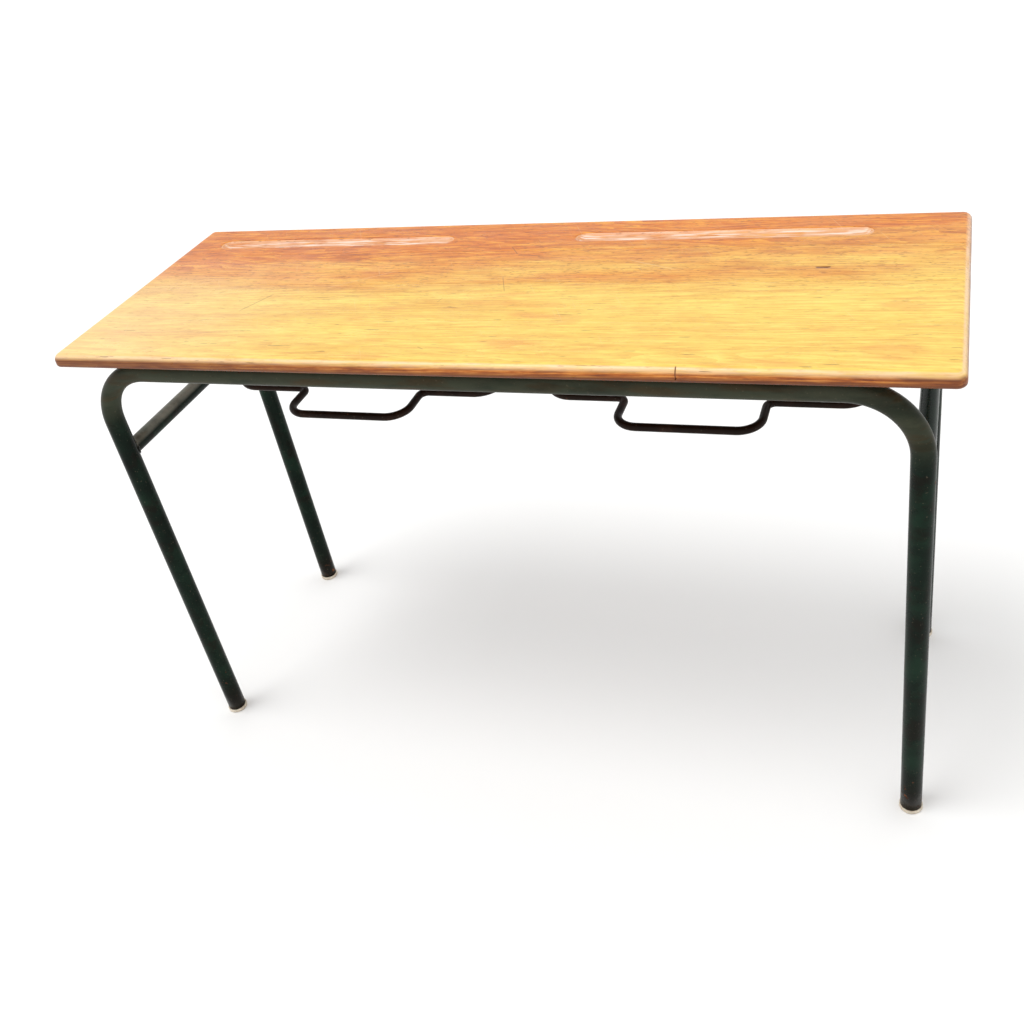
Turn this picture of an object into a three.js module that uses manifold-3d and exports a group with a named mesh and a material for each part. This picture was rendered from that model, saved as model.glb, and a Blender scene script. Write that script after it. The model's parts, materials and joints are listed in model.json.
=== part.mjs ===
// Two-place school desk: an edge-glued oak top with two routed pen grooves on a welded frame
// of bent round tube, with a pair of bent-rod book racks under the top.
// Millimetres, +Z up. The origin is on the floor under the middle of the top, +X runs along
// the desk to the right and +Y runs away from the sitters.

import * as THREE from 'three';
import { mergeVertices } from 'three/addons/utils/BufferGeometryUtils.js';
import Module from 'manifold-3d';

const wasm = await Module();
wasm.setup();

// Assembly clearances
const WELD_GAP = 0.3;
const SEAT_GAP = 0.2;
const GLUE_LINE = 0.2;

// Oak top
const TOP_LENGTH = 1250;
const TOP_DEPTH = 450;
const TOP_THICKNESS = 20;
const DESK_HEIGHT = 746;
const TOP_CORNER_RADIUS = 12;
const TOP_EDGE_RADIUS = 6;
const TOP_EDGE_STEPS = 3;
const BOARD_NAMES = ['board_front', 'board_mid_front', 'board_mid_rear', 'board_rear'];
const BOARD_SEAMS = [-TOP_DEPTH / 2, -108, 4, 114, TOP_DEPTH / 2];
const UNDERSIDE_Z = DESK_HEIGHT - TOP_THICKNESS;

// Pen grooves, coved and round-ended, routed into the rear board
const GROOVE_LENGTH = 432;
const GROOVE_WIDTH = 30;
const GROOVE_DEPTH = 7;
const GROOVE_Y = 160;
const GROOVE_CENTRES_X = [-349, 284];

// Tube frame
const TUBE_RADIUS = 15;
const TUBE_BORE = 13.5;
const TUBE_SIDES = 20;
const BEND_RADIUS = 90;
const BEND_STEPS = 7;
const LEG_X = 582;
const FRONT_LEG_Y = -198;
const REAR_LEG_Y = 172;
const TAB_THICKNESS = 3;
const RAIL_Z = UNDERSIDE_Z - SEAT_GAP - TAB_THICKNESS - SEAT_GAP - TUBE_RADIUS;

// Stretchers between the legs
const STRETCHER_RADIUS = 12.5;
const STRETCHER_BORE = 11;
const STRETCHER_SIDES = 16;
const STRETCHER_Z = 563;
const COPE_SIDES = 40;

// Book racks of bent rod
const ROD_RADIUS = 6;
const ROD_SIDES = 10;
const CROSS_ROD_RADIUS = 4;
const RACK_Z = 561;
const RACK_INNER_X = 41;
const RACK_OUTER_X = 507;
const RACK_FRONT_Y = 4;
const RACK_END_RADIUS = 38;
const TONGUE_CENTRE_X = 267.5;
const TONGUE_HALF_WIDTH = 102.5;
const TONGUE_FRONT_Y = -71.5;
const TONGUE_ROOT_RADIUS = 13;
const TONGUE_TIP_RADIUS = 33;
const CROSS_ROD_YS = [50, 108];
const CROSS_TUBE_Z = RACK_Z - ROD_RADIUS - WELD_GAP - STRETCHER_RADIUS;
const RACK_BACK_Y = REAR_LEG_Y + STRETCHER_RADIUS + 2;

// Fixing tabs, welded to the rails, and the wood screws through them
const TAB_XS = [-400, 0, 400];
const TAB_WIDTH = 36;
const TAB_REACH = 34;
const TAB_LAP = 8;
const TAB_CORNER_RADIUS = 8;
const SCREW_OFFSET = 22;
const SCREW_HOLE_RADIUS = 2.8;
const SCREW_SHANK_RADIUS = 2.2;
const SCREW_HEAD_RADIUS = 4.6;
const SCREW_HEAD_HEIGHT = 2.6;
const SCREW_LENGTH = 16;
const SCREW_TIP = 4;
const SCREW_SIDES = 12;
const PILOT_RADIUS = 2.5;
const PILOT_DEPTH = 14;
const PILOT_SIDES = 16;

// Glides pressed into the open tube ends
const GLIDE_RADIUS = 16.5;
const GLIDE_FOOT_RADIUS = 14;
const GLIDE_CAP_HEIGHT = 6;
const GLIDE_STEM_RADIUS = TUBE_BORE - 0.4;
const GLIDE_STEM_LENGTH = 22;
const GLIDE_SIDES = 24;

const oakFinish = { color: 0xd9963f, roughness: 0.38, metalness: 0 };
const frameFinish = { color: 0x2b3a33, roughness: 0.45, metalness: 0.1 };
const rackFinish = { color: 0x2c231e, roughness: 0.55, metalness: 0.3 };
const zincFinish = { color: 0x9a978c, roughness: 0.4, metalness: 0.9 };
const glideFinish = { color: 0xd9cdb8, roughness: 0.6, metalness: 0 };

// A path whose stations are listed, so that a straight run takes a single step.
class StationPath extends THREE.Curve {
  constructor(stations) {
    super();
    this.stations = stations;
  }

  stationAt(t) {
    return this.stations[Math.round(t * (this.stations.length - 1))];
  }

  getPoint(t, target = new THREE.Vector3()) {
    return target.copy(this.stationAt(t).point);
  }

  getTangent(t, target = new THREE.Vector3()) {
    return target.copy(this.stationAt(t).tangent);
  }

  getUtoTmapping(u) {
    return u;
  }
}

function direction(from, to) {
  return to.clone().sub(from).normalize();
}

// The stations of one bend: an arc that leaves `incoming` and ends along `outgoing`.
function bendStations(corner, incoming, outgoing, radius) {
  const turn = incoming.angleTo(outgoing);
  const setback = radius * Math.tan(turn / 2);
  const start = corner.clone().addScaledVector(incoming, -setback);
  const inward = outgoing.clone().addScaledVector(incoming, -incoming.dot(outgoing)).normalize();
  const centre = start.clone().addScaledVector(inward, radius);
  const stations = [];
  for (let step = 0; step <= BEND_STEPS; step += 1) {
    const angle = (turn * step) / BEND_STEPS;
    const point = centre.clone();
    point.addScaledVector(inward, -radius * Math.cos(angle));
    point.addScaledVector(incoming, radius * Math.sin(angle));
    const tangent = incoming.clone().multiplyScalar(Math.cos(angle));
    tangent.addScaledVector(inward, Math.sin(angle));
    stations.push({ point, tangent });
  }
  return stations;
}

// Corners are [point, bend radius] pairs; the first and the last are the path's ends.
function bentPath(corners) {
  const stations = [];
  corners.forEach(([point, radius], index) => {
    const previous = corners[index - 1];
    const next = corners[index + 1];
    if (!previous) {
      stations.push({ point, tangent: direction(point, next[0]) });
    } else if (!next) {
      stations.push({ point, tangent: direction(previous[0], point) });
    } else {
      const incoming = direction(previous[0], point);
      const outgoing = direction(point, next[0]);
      stations.push(...bendStations(point, incoming, outgoing, radius));
    }
  });
  return new StationPath(stations);
}

function straightPath(from, to) {
  return bentPath([[from, 0], [to, 0]]);
}

function polygon(radius, sides) {
  const points = [];
  for (let side = 0; side < sides; side += 1) {
    const angle = (2 * Math.PI * (side + 0.5)) / sides;
    points.push(new THREE.Vector2(radius * Math.cos(angle), radius * Math.sin(angle)));
  }
  return points;
}

// A round bar, or a tube when it has a bore, along a path.
function sweptBar(path, radius, sides, bore = 0) {
  const section = new THREE.Shape(polygon(radius, sides));
  if (bore > 0) {
    section.holes.push(new THREE.Path(polygon(bore, sides)));
  }
  const steps = path.stations.length - 1;
  return new THREE.ExtrudeGeometry(section, { steps, extrudePath: path, bevelEnabled: false });
}

// Booleans work on closed meshes whose shared vertices are merged and whose
// zero-area triangles, such as those at a lathe's poles, are left out.
function toSolid(geometry) {
  const bare = geometry.clone();
  bare.deleteAttribute('normal');
  bare.deleteAttribute('uv');
  const merged = mergeVertices(bare);
  const corners = merged.index.array;
  const kept = [];
  for (let i = 0; i < corners.length; i += 3) {
    const [a, b, c] = corners.slice(i, i + 3);
    if (a !== b && b !== c && c !== a) {
      kept.push(a, b, c);
    }
  }
  const vertProperties = new Float32Array(merged.attributes.position.array);
  const mesh = new wasm.Mesh({ numProp: 3, vertProperties, triVerts: new Uint32Array(kept) });
  return new wasm.Manifold(mesh);
}

function toGeometry(solid) {
  const mesh = solid.getMesh();
  const geometry = new THREE.BufferGeometry();
  geometry.setAttribute('position', new THREE.BufferAttribute(mesh.vertProperties, 3));
  geometry.setIndex(new THREE.BufferAttribute(mesh.triVerts, 1));
  geometry.computeVertexNormals();
  return geometry;
}

function piece(name, geometry, finish) {
  const mesh = new THREE.Mesh(geometry, new THREE.MeshStandardMaterial(finish));
  mesh.name = name;
  return mesh;
}

function uprightCylinder(radius, height, sides) {
  const geometry = new THREE.CylinderGeometry(radius, radius, height, sides);
  geometry.rotateX(Math.PI / 2);
  return geometry;
}

// A lathe profile is a list of [radius, height] pairs from the bottom up.
function upright(profile, sides) {
  const points = profile.map(([radius, height]) => new THREE.Vector2(radius, height));
  const geometry = new THREE.LatheGeometry(points, sides);
  geometry.rotateX(Math.PI / 2);
  return geometry;
}

function roundedRectangle(halfLength, halfDepth, radius) {
  const shape = new THREE.Shape();
  shape.absarc(halfLength - radius, halfDepth - radius, radius, 0, Math.PI / 2);
  shape.absarc(radius - halfLength, halfDepth - radius, radius, Math.PI / 2, Math.PI);
  shape.absarc(radius - halfLength, radius - halfDepth, radius, Math.PI, 1.5 * Math.PI);
  shape.absarc(halfLength - radius, radius - halfDepth, radius, 1.5 * Math.PI, 2 * Math.PI);
  return shape;
}

// The whole top before it is divided, with its underside at z = 0.
function topSlab() {
  const outline = roundedRectangle(TOP_LENGTH / 2, TOP_DEPTH / 2, TOP_CORNER_RADIUS);
  const geometry = new THREE.ExtrudeGeometry(outline, {
    depth: TOP_THICKNESS - 2 * TOP_EDGE_RADIUS,
    curveSegments: 5,
    bevelEnabled: true,
    bevelThickness: TOP_EDGE_RADIUS,
    bevelSize: TOP_EDGE_RADIUS,
    bevelOffset: -TOP_EDGE_RADIUS,
    bevelSegments: TOP_EDGE_STEPS,
  });
  geometry.translate(0, 0, TOP_EDGE_RADIUS);
  return toSolid(geometry);
}

// A round-ended cove cutter: its circle meets the surface at the groove's width.
function grooveCutter(centreX) {
  const halfWidth = GROOVE_WIDTH / 2;
  const radius = (halfWidth ** 2 + GROOVE_DEPTH ** 2) / (2 * GROOVE_DEPTH);
  const halfRun = GROOVE_LENGTH / 2 - halfWidth;
  const profile = [];
  const capSteps = 7;
  for (const end of [-1, 1]) {
    for (let step = 0; step <= capSteps; step += 1) {
      const angle = ((end < 0 ? step : capSteps - step) * Math.PI) / 2 / capSteps;
      profile.push([radius * Math.sin(angle), end * (halfRun + radius * Math.cos(angle))]);
    }
  }
  const geometry = upright(profile, 48);
  geometry.rotateY(Math.PI / 2);
  geometry.translate(centreX, GROOVE_Y, TOP_THICKNESS - GROOVE_DEPTH + radius);
  return toSolid(geometry);
}

function screwPlaces() {
  const places = [];
  for (const x of TAB_XS) {
    places.push([x, FRONT_LEG_Y + SCREW_OFFSET]);
    places.push([x, REAR_LEG_Y - SCREW_OFFSET]);
  }
  return places;
}

function pilotCutter([x, y]) {
  const geometry = uprightCylinder(PILOT_RADIUS, 2 * PILOT_DEPTH, PILOT_SIDES);
  geometry.translate(x, y, 0);
  return toSolid(geometry);
}

function boardBlank(frontY, rearY) {
  const depth = rearY - frontY;
  const geometry = new THREE.BoxGeometry(2 * TOP_LENGTH, depth, 4 * TOP_THICKNESS);
  geometry.translate(0, frontY + depth / 2, 0);
  return toSolid(geometry);
}

function oakTop() {
  const top = new THREE.Group();
  let slab = topSlab();
  for (const centreX of GROOVE_CENTRES_X) {
    slab = slab.subtract(grooveCutter(centreX));
  }
  for (const place of screwPlaces()) {
    slab = slab.subtract(pilotCutter(place));
  }
  BOARD_NAMES.forEach((name, index) => {
    const frontY = BOARD_SEAMS[index] + GLUE_LINE / 2;
    const rearY = BOARD_SEAMS[index + 1] - GLUE_LINE / 2;
    const isFirst = index === 0;
    const isLast = index === BOARD_NAMES.length - 1;
    const blank = boardBlank(isFirst ? -TOP_DEPTH : frontY, isLast ? TOP_DEPTH : rearY);
    top.add(piece(name, toGeometry(slab.intersect(blank)), oakFinish));
  });
  top.position.z = UNDERSIDE_Z;
  return top;
}

// One length of tube bent into two legs and the rail that carries the top.
function legHoop(name, y) {
  const footZ = GLIDE_CAP_HEIGHT + SEAT_GAP;
  const path = bentPath([
    [new THREE.Vector3(-LEG_X, 0, footZ), 0],
    [new THREE.Vector3(-LEG_X, 0, RAIL_Z), BEND_RADIUS],
    [new THREE.Vector3(LEG_X, 0, RAIL_Z), BEND_RADIUS],
    [new THREE.Vector3(LEG_X, 0, footZ), 0],
  ]);
  const hoop = piece(name, sweptBar(path, TUBE_RADIUS, TUBE_SIDES, TUBE_BORE), frameFinish);
  hoop.position.y = y;
  return hoop;
}

// A straight tube whose ends are coped to fit round two upright legs.
function copedStretcher(name, from, to) {
  const path = straightPath(from, to);
  let solid = toSolid(sweptBar(path, STRETCHER_RADIUS, STRETCHER_SIDES, STRETCHER_BORE));
  for (const end of [from, to]) {
    const geometry = uprightCylinder(TUBE_RADIUS + WELD_GAP, 4 * STRETCHER_RADIUS, COPE_SIDES);
    geometry.translate(end.x, end.y, end.z);
    solid = solid.subtract(toSolid(geometry));
  }
  return piece(name, toGeometry(solid), frameFinish);
}

function sideStretcher(name, x) {
  const from = new THREE.Vector3(x, FRONT_LEG_Y, STRETCHER_Z);
  const to = new THREE.Vector3(x, REAR_LEG_Y, STRETCHER_Z);
  return copedStretcher(name, from, to);
}

function rearCrossTube() {
  const from = new THREE.Vector3(-LEG_X, REAR_LEG_Y, CROSS_TUBE_Z);
  const to = new THREE.Vector3(LEG_X, REAR_LEG_Y, CROSS_TUBE_Z);
  return copedStretcher('rear_cross_tube', from, to);
}

// One rod bent into a rack's two sides, its front edge and the tongue in the middle of it.
function rackRod(side) {
  const corner = (x, y, radius) => [new THREE.Vector3(side * x, y, 0), radius];
  const innerArm = TONGUE_CENTRE_X - TONGUE_HALF_WIDTH;
  const outerArm = TONGUE_CENTRE_X + TONGUE_HALF_WIDTH;
  const path = bentPath([
    corner(RACK_INNER_X, RACK_BACK_Y, 0),
    corner(RACK_INNER_X, RACK_FRONT_Y, RACK_END_RADIUS),
    corner(innerArm, RACK_FRONT_Y, TONGUE_ROOT_RADIUS),
    corner(innerArm, TONGUE_FRONT_Y, TONGUE_TIP_RADIUS),
    corner(outerArm, TONGUE_FRONT_Y, TONGUE_TIP_RADIUS),
    corner(outerArm, RACK_FRONT_Y, TONGUE_ROOT_RADIUS),
    corner(RACK_OUTER_X, RACK_FRONT_Y, RACK_END_RADIUS),
    corner(RACK_OUTER_X, RACK_BACK_Y, 0),
  ]);
  return sweptBar(path, ROD_RADIUS, ROD_SIDES);
}

// A thinner rod across a rack, butted against the insides of its two side runs.
function crossRod(side) {
  const inset = ROD_RADIUS + WELD_GAP;
  const from = new THREE.Vector3(side * (RACK_INNER_X + inset), 0, 0);
  const to = new THREE.Vector3(side * (RACK_OUTER_X - inset), 0, 0);
  return sweptBar(straightPath(from, to), CROSS_ROD_RADIUS, ROD_SIDES);
}

function bookRack(label, side) {
  const rack = new THREE.Group();
  rack.add(piece(`${label}_rack_rod`, rackRod(side), rackFinish));
  CROSS_ROD_YS.forEach((y, index) => {
    const rod = piece(`${label}_rack_cross_rod_${index + 1}`, crossRod(side), rackFinish);
    rod.position.y = y;
    rack.add(rod);
  });
  rack.position.z = RACK_Z;
  return rack;
}

// A flat tab on the rail's crown, reaching inwards to its screw. `inward` is +1 or -1 along Y.
function fixingTab(inward) {
  const outline = roundedRectangle(TAB_WIDTH / 2, (TAB_REACH + TAB_LAP) / 2, TAB_CORNER_RADIUS);
  const settings = { depth: TAB_THICKNESS, curveSegments: 4, bevelEnabled: false };
  const plate = new THREE.ExtrudeGeometry(outline, settings);
  plate.translate(0, (inward * (TAB_REACH - TAB_LAP)) / 2, 0);
  const hole = uprightCylinder(SCREW_HOLE_RADIUS, 4 * TAB_THICKNESS, PILOT_SIDES);
  hole.translate(0, inward * SCREW_OFFSET, 0);
  return toGeometry(toSolid(plate).subtract(toSolid(hole)));
}

// A pan-head wood screw that points up, with z = 0 under its head's bearing face.
function woodScrew() {
  return upright([
    [0, -SCREW_HEAD_HEIGHT],
    [0.75 * SCREW_HEAD_RADIUS, -SCREW_HEAD_HEIGHT],
    [SCREW_HEAD_RADIUS, -0.4 * SCREW_HEAD_HEIGHT],
    [SCREW_HEAD_RADIUS, 0],
    [SCREW_SHANK_RADIUS, 0],
    [SCREW_SHANK_RADIUS, SCREW_LENGTH - SCREW_TIP],
    [0, SCREW_LENGTH],
  ], SCREW_SIDES);
}

function topFixings(label, railY, inward) {
  const fixings = new THREE.Group();
  TAB_XS.forEach((x, index) => {
    const tab = piece(`${label}_fixing_tab_${index + 1}`, fixingTab(inward), frameFinish);
    tab.position.set(x, railY, UNDERSIDE_Z - SEAT_GAP - TAB_THICKNESS);
    const screw = piece(`${label}_top_screw_${index + 1}`, woodScrew(), zincFinish);
    const bearingZ = UNDERSIDE_Z - TAB_THICKNESS - 2 * SEAT_GAP;
    screw.position.set(x, railY + inward * SCREW_OFFSET, bearingZ);
    fixings.add(tab, screw);
  });
  return fixings;
}

// A moulded glide: a flat-bottomed cap outside the tube and a stem inside it.
function glide(name, x, y) {
  const geometry = upright([
    [0, 0],
    [GLIDE_FOOT_RADIUS, 0],
    [GLIDE_RADIUS, 2],
    [GLIDE_RADIUS, GLIDE_CAP_HEIGHT - 1],
    [GLIDE_RADIUS - 1, GLIDE_CAP_HEIGHT],
    [GLIDE_STEM_RADIUS, GLIDE_CAP_HEIGHT],
    [GLIDE_STEM_RADIUS - 1, GLIDE_CAP_HEIGHT + GLIDE_STEM_LENGTH],
    [0, GLIDE_CAP_HEIGHT + GLIDE_STEM_LENGTH],
  ], GLIDE_SIDES);
  const foot = piece(name, geometry, glideFinish);
  foot.position.set(x, y, 0);
  return foot;
}

const desk = new THREE.Group();
desk.add(oakTop());
desk.add(legHoop('front_leg_hoop', FRONT_LEG_Y));
desk.add(legHoop('rear_leg_hoop', REAR_LEG_Y));
desk.add(sideStretcher('left_side_stretcher', -LEG_X));
desk.add(sideStretcher('right_side_stretcher', LEG_X));
desk.add(rearCrossTube());
desk.add(bookRack('left', -1));
desk.add(bookRack('right', 1));
desk.add(topFixings('front', FRONT_LEG_Y, 1));
desk.add(topFixings('rear', REAR_LEG_Y, -1));
desk.add(glide('front_left_glide', -LEG_X, FRONT_LEG_Y));
desk.add(glide('front_right_glide', LEG_X, FRONT_LEG_Y));
desk.add(glide('rear_left_glide', -LEG_X, REAR_LEG_Y));
desk.add(glide('rear_right_glide', LEG_X, REAR_LEG_Y));

export default desk;
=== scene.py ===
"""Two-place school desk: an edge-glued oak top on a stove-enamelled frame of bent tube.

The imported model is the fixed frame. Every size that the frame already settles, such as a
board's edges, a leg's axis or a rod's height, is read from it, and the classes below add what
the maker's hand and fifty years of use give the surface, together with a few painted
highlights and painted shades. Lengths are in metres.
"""

import json
import logging
import math
from dataclasses import dataclass, replace
from enum import Enum
from functools import partial
from typing import Any, Callable, ClassVar, Iterable, Sequence

import bmesh
import bpy
import numpy as np
from mathutils import Matrix, Vector


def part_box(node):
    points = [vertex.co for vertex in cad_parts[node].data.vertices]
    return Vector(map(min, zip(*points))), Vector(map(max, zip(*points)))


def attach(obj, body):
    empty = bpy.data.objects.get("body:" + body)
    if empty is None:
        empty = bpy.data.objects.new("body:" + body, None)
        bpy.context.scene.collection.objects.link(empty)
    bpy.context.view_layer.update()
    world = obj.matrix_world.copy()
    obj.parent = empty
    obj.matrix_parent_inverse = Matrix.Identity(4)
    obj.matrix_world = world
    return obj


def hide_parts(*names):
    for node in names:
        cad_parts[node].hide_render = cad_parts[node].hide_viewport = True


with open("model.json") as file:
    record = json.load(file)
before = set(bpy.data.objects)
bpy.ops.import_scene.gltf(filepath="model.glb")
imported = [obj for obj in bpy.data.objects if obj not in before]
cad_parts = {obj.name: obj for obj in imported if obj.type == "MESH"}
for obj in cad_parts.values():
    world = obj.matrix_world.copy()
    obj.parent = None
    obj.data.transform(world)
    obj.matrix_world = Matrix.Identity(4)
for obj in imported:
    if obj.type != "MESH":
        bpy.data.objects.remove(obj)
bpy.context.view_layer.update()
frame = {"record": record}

LOG = logging.getLogger("school_desk")
MM = 0.001
ROOT = "root"
MERGE_DISTANCE = 0.004 * MM
SLIVER = 0.001 * MM
UP = np.array([0.0, 0.0, 1.0])

SMOOTH = {"interpolation_type": "SMOOTHSTEP"}

Array = np.ndarray
Material = bpy.types.Material
Socket = bpy.types.NodeSocket
Add = Callable[..., Any]
Numbers = Sequence[float]
Stops = Sequence[tuple[float, str]]


class Slot(Enum):
    """The record's material slots."""

    OAK = "varnished_oak"
    GREEN = "green_enamel"
    BROWN = "brown_enamel"
    ZINC = "zinc_steel"
    GLIDE = "cream_polyamide"


class Side(Enum):
    """The two sitters' sides, as the sign of X."""

    LEFT = -1
    RIGHT = 1


class Crisp(Enum):
    """How many degrees an edge has to turn to stay crisp, by the way a piece is made."""

    CUT = 30.0
    PRESSED = 40.0
    DRAWN = 50.0
    WELDED = 60.0


# --------------------------------------------------------------------------------------
# Mesh work
# --------------------------------------------------------------------------------------


@dataclass
class Surface:
    """One patch of a piece: a grid of points whose rows and columns may close on themselves.

    Args:
        points: rows x columns x 3 positions.
        wrap_rows: True if the last row meets the first.
        wrap_columns: True if the last column meets the first.
        flip: True to turn the faces over.
    """

    points: Array
    wrap_rows: bool = False
    wrap_columns: bool = False
    flip: bool = False

    def faces(self, first: int) -> Array:
        """Quads between neighbouring rows and columns.

        Args:
            first: index of the patch's first vertex in the whole piece.

        Returns:
            An n x 4 array of vertex indices.
        """
        rows, columns = self.points.shape[:2]
        index = first + np.arange(rows * columns).reshape(rows, columns)
        if self.wrap_rows:
            index = np.vstack([index, index[:1]])
        if self.wrap_columns:
            index = np.hstack([index, index[:, :1]])
        corners = [index[:-1, :-1], index[:-1, 1:], index[1:, 1:], index[1:, :-1]]
        if self.flip:
            corners.reverse()
        return np.stack(corners, axis=-1).reshape(-1, 4)


def new_mesh(name: str, surfaces: Sequence[Surface]) -> bpy.types.Mesh:
    """Put patches into one mesh."""
    faces, first = [], 0
    for surface in surfaces:
        faces.append(surface.faces(first))
        first += surface.points.shape[0] * surface.points.shape[1]
    points = np.concatenate([surface.points.reshape(-1, 3) for surface in surfaces])
    mesh = bpy.data.meshes.new(name)
    mesh.from_pydata(points.tolist(), [], np.concatenate(faces).tolist())
    return mesh


def show(name: str, data: bpy.types.ID) -> bpy.types.Object:
    """Put an object with this data into the scene, at the origin."""
    shown = bpy.data.objects.new(name, data)
    bpy.context.scene.collection.objects.link(shown)
    return shown


def make_piece(name: str, surfaces: Sequence[Surface], material: Material,
               crisp: Crisp, stands_for: Sequence[str] = ()) -> None:
    """Join patches into one closed mesh, dress it and tie it to the frame.

    Args:
        name: the piece's name.
        surfaces: patches whose shared edges coincide.
        material: the finish.
        crisp: which edges stay crisp.
        stands_for: CAD nodes that this piece replaces.
    """
    mesh = new_mesh(name, surfaces)
    work = bmesh.new()
    work.from_mesh(mesh)
    bmesh.ops.remove_doubles(work, verts=work.verts, dist=MERGE_DISTANCE)
    bmesh.ops.dissolve_degenerate(work, edges=work.edges, dist=SLIVER)
    bmesh.ops.recalc_face_normals(work, faces=work.faces)
    work.to_mesh(mesh)
    work.free()
    mesh.shade_smooth()
    mesh.set_sharp_from_angle(angle=math.radians(crisp.value))
    mesh.materials.append(material)
    piece = show(name, mesh)
    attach(piece, ROOT)
    if stands_for:
        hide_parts(*stands_for)
    LOG.info("%s: %d faces", name, len(mesh.polygons))


def middle_of(node: str) -> Array:
    """The middle of a CAD node's box."""
    low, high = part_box(node)
    return np.array(low + high) / 2


def unit(vector: Array) -> Array:
    """The vector at length 1."""
    return vector / np.linalg.norm(vector)


def circle(sides: int) -> Array:
    """Angles of a ring's corners, without the repeated last one."""
    return np.linspace(0.0, 2.0 * math.pi, sides, endpoint=False)


def arc(start: float, stop: float, steps: int, radius: float, centre: Numbers) -> list:
    """Points of a circular arc in a profile's plane, angles in degrees."""
    angles = np.radians(np.linspace(start, stop, steps))
    return [(centre[0] + radius * math.cos(a), centre[1] + radius * math.sin(a)) for a in angles]


def revolve(profile: Iterable[tuple[float, float]], centre: Array, sides: int) -> Surface:
    """Turn a profile round the Z axis through a centre: x, y = r cos a, r sin a and z = height.

    Args:
        profile: (radius, height) pairs from one end of the axis to the other.
        centre: where the profile's height 0 lies.
        sides: corners round the axis.

    Returns:
        The turned patch, closed where the profile meets the axis.
    """
    radius, height = (column[:, None] for column in np.array(list(profile), float).T)
    angle = circle(sides)
    turned = [radius * np.cos(angle), radius * np.sin(angle), height + 0.0 * angle]
    return Surface(np.stack(turned, axis=-1) + centre, wrap_columns=True)


@dataclass
class BentPath:
    """A centre line of straight runs joined by circular bends, all in one plane.

    Args:
        corners: the points where the straight runs would meet, ends included.
        radii: the bend radius at each corner, with 0 at both ends.
        bend_steps: stations in each bend.
        run_step: longest step along a straight run.
    """

    corners: Array
    radii: Numbers
    bend_steps: int = 16
    run_step: float = 40 * MM

    def stations(self) -> tuple[Array, Array, Array]:
        """Points, unit tangents and bend strength (0 on a straight run, 1 mid-bend).

        A bend of radius R that turns by an angle A leaves its incoming run R tan(A/2) before
        the corner; at angle a its point is start + R (1 - cos a) inward + R sin(a) incoming.
        """
        first, last = unit(self.corners[1] - self.corners[0]), self.corners[-1]
        parts = [(self.corners[:1], first[None], np.zeros(1))]
        leaving = self.corners[0]
        for before, corner, after, radius in zip(
                self.corners, self.corners[1:], self.corners[2:], self.radii[1:]):
            incoming, outgoing = unit(corner - before), unit(after - corner)
            turn = math.acos(float(np.clip(incoming @ outgoing, -1.0, 1.0)))
            inward = unit(outgoing - incoming * (incoming @ outgoing))
            start = corner - incoming * radius * math.tan(turn / 2)
            parts.append(self._run(leaving, start))
            angle = np.linspace(0.0, turn, self.bend_steps + 1)[1:, None]
            sine, cosine = np.sin(angle), np.cos(angle)
            bend = start + radius * ((1.0 - cosine) * inward + sine * incoming)
            tangents = cosine * incoming + sine * inward
            parts.append((bend, tangents, np.sin(math.pi * angle[:, 0] / turn)))
            leaving = bend[-1]
        parts.append(self._run(leaving, last))
        points, tangents, strength = (np.concatenate(part) for part in zip(*parts))
        return points, tangents, strength

    def _run(self, start: Array, stop: Array) -> tuple[Array, Array, Array]:
        """A straight run's stations after its start."""
        steps = max(1, math.ceil(float(np.linalg.norm(stop - start)) / self.run_step))
        points = start + np.linspace(0.0, 1.0, steps + 1)[1:, None] * (stop - start)
        return points, np.repeat(unit(stop - start)[None], steps, axis=0), np.zeros(steps)


def swept_rings(path: BentPath, normal: Array, radius: float, sides: int,
                flatten: float = 0.0) -> Array:
    """Rings of a round bar along a flat path.

    Each ring is point + r (cos a side + sin a normal), where side is tangent x normal. In a
    bend the tube is drawn flatter in the bend's plane by up to the share `flatten`, and
    bulges across it by 0.4 of that.

    Args:
        path: the centre line.
        normal: unit normal of the path's plane.
        radius: the bar's radius.
        sides: corners of each ring.
        flatten: share of the radius lost mid-bend.

    Returns:
        Stations x sides x 3 positions.
    """
    points, tangents, strength = path.stations()
    side = np.cross(tangents, normal)
    angle = circle(sides)[None, :, None]
    lost = flatten * strength[:, None, None]
    in_plane = radius * (1.0 - lost) * np.cos(angle)
    across = radius * (1.0 + 0.4 * lost) * np.sin(angle)
    return points[:, None, :] + in_plane * side[:, None, :] + across * normal


def rounded_bar(path: BentPath, normal: Array, radius: float, sides: int, edge: float) -> Surface:
    """A solid bar along a flat path, with its two sawn ends eased by a small radius."""
    rings = swept_rings(path, normal, radius, sides)
    _, tangents, _ = path.stations()
    turns = np.radians([30.0, 60.0, 90.0])
    easing = [(1.0 - edge / radius * (1.0 - math.cos(a)), math.sin(a)) for a in turns]
    caps = []
    for ring, tangent in ((rings[0], -tangents[0]), (rings[-1], tangents[-1])):
        middle = ring.mean(axis=0)
        caps.append(np.stack([middle + (ring - middle) * share + tangent * edge * reach
                              for share, reach in [*easing, (0.5, 1.0), (0.0, 1.0)]]))
    return Surface(np.concatenate([caps[0][::-1], rings, caps[1]]), wrap_columns=True)


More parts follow.
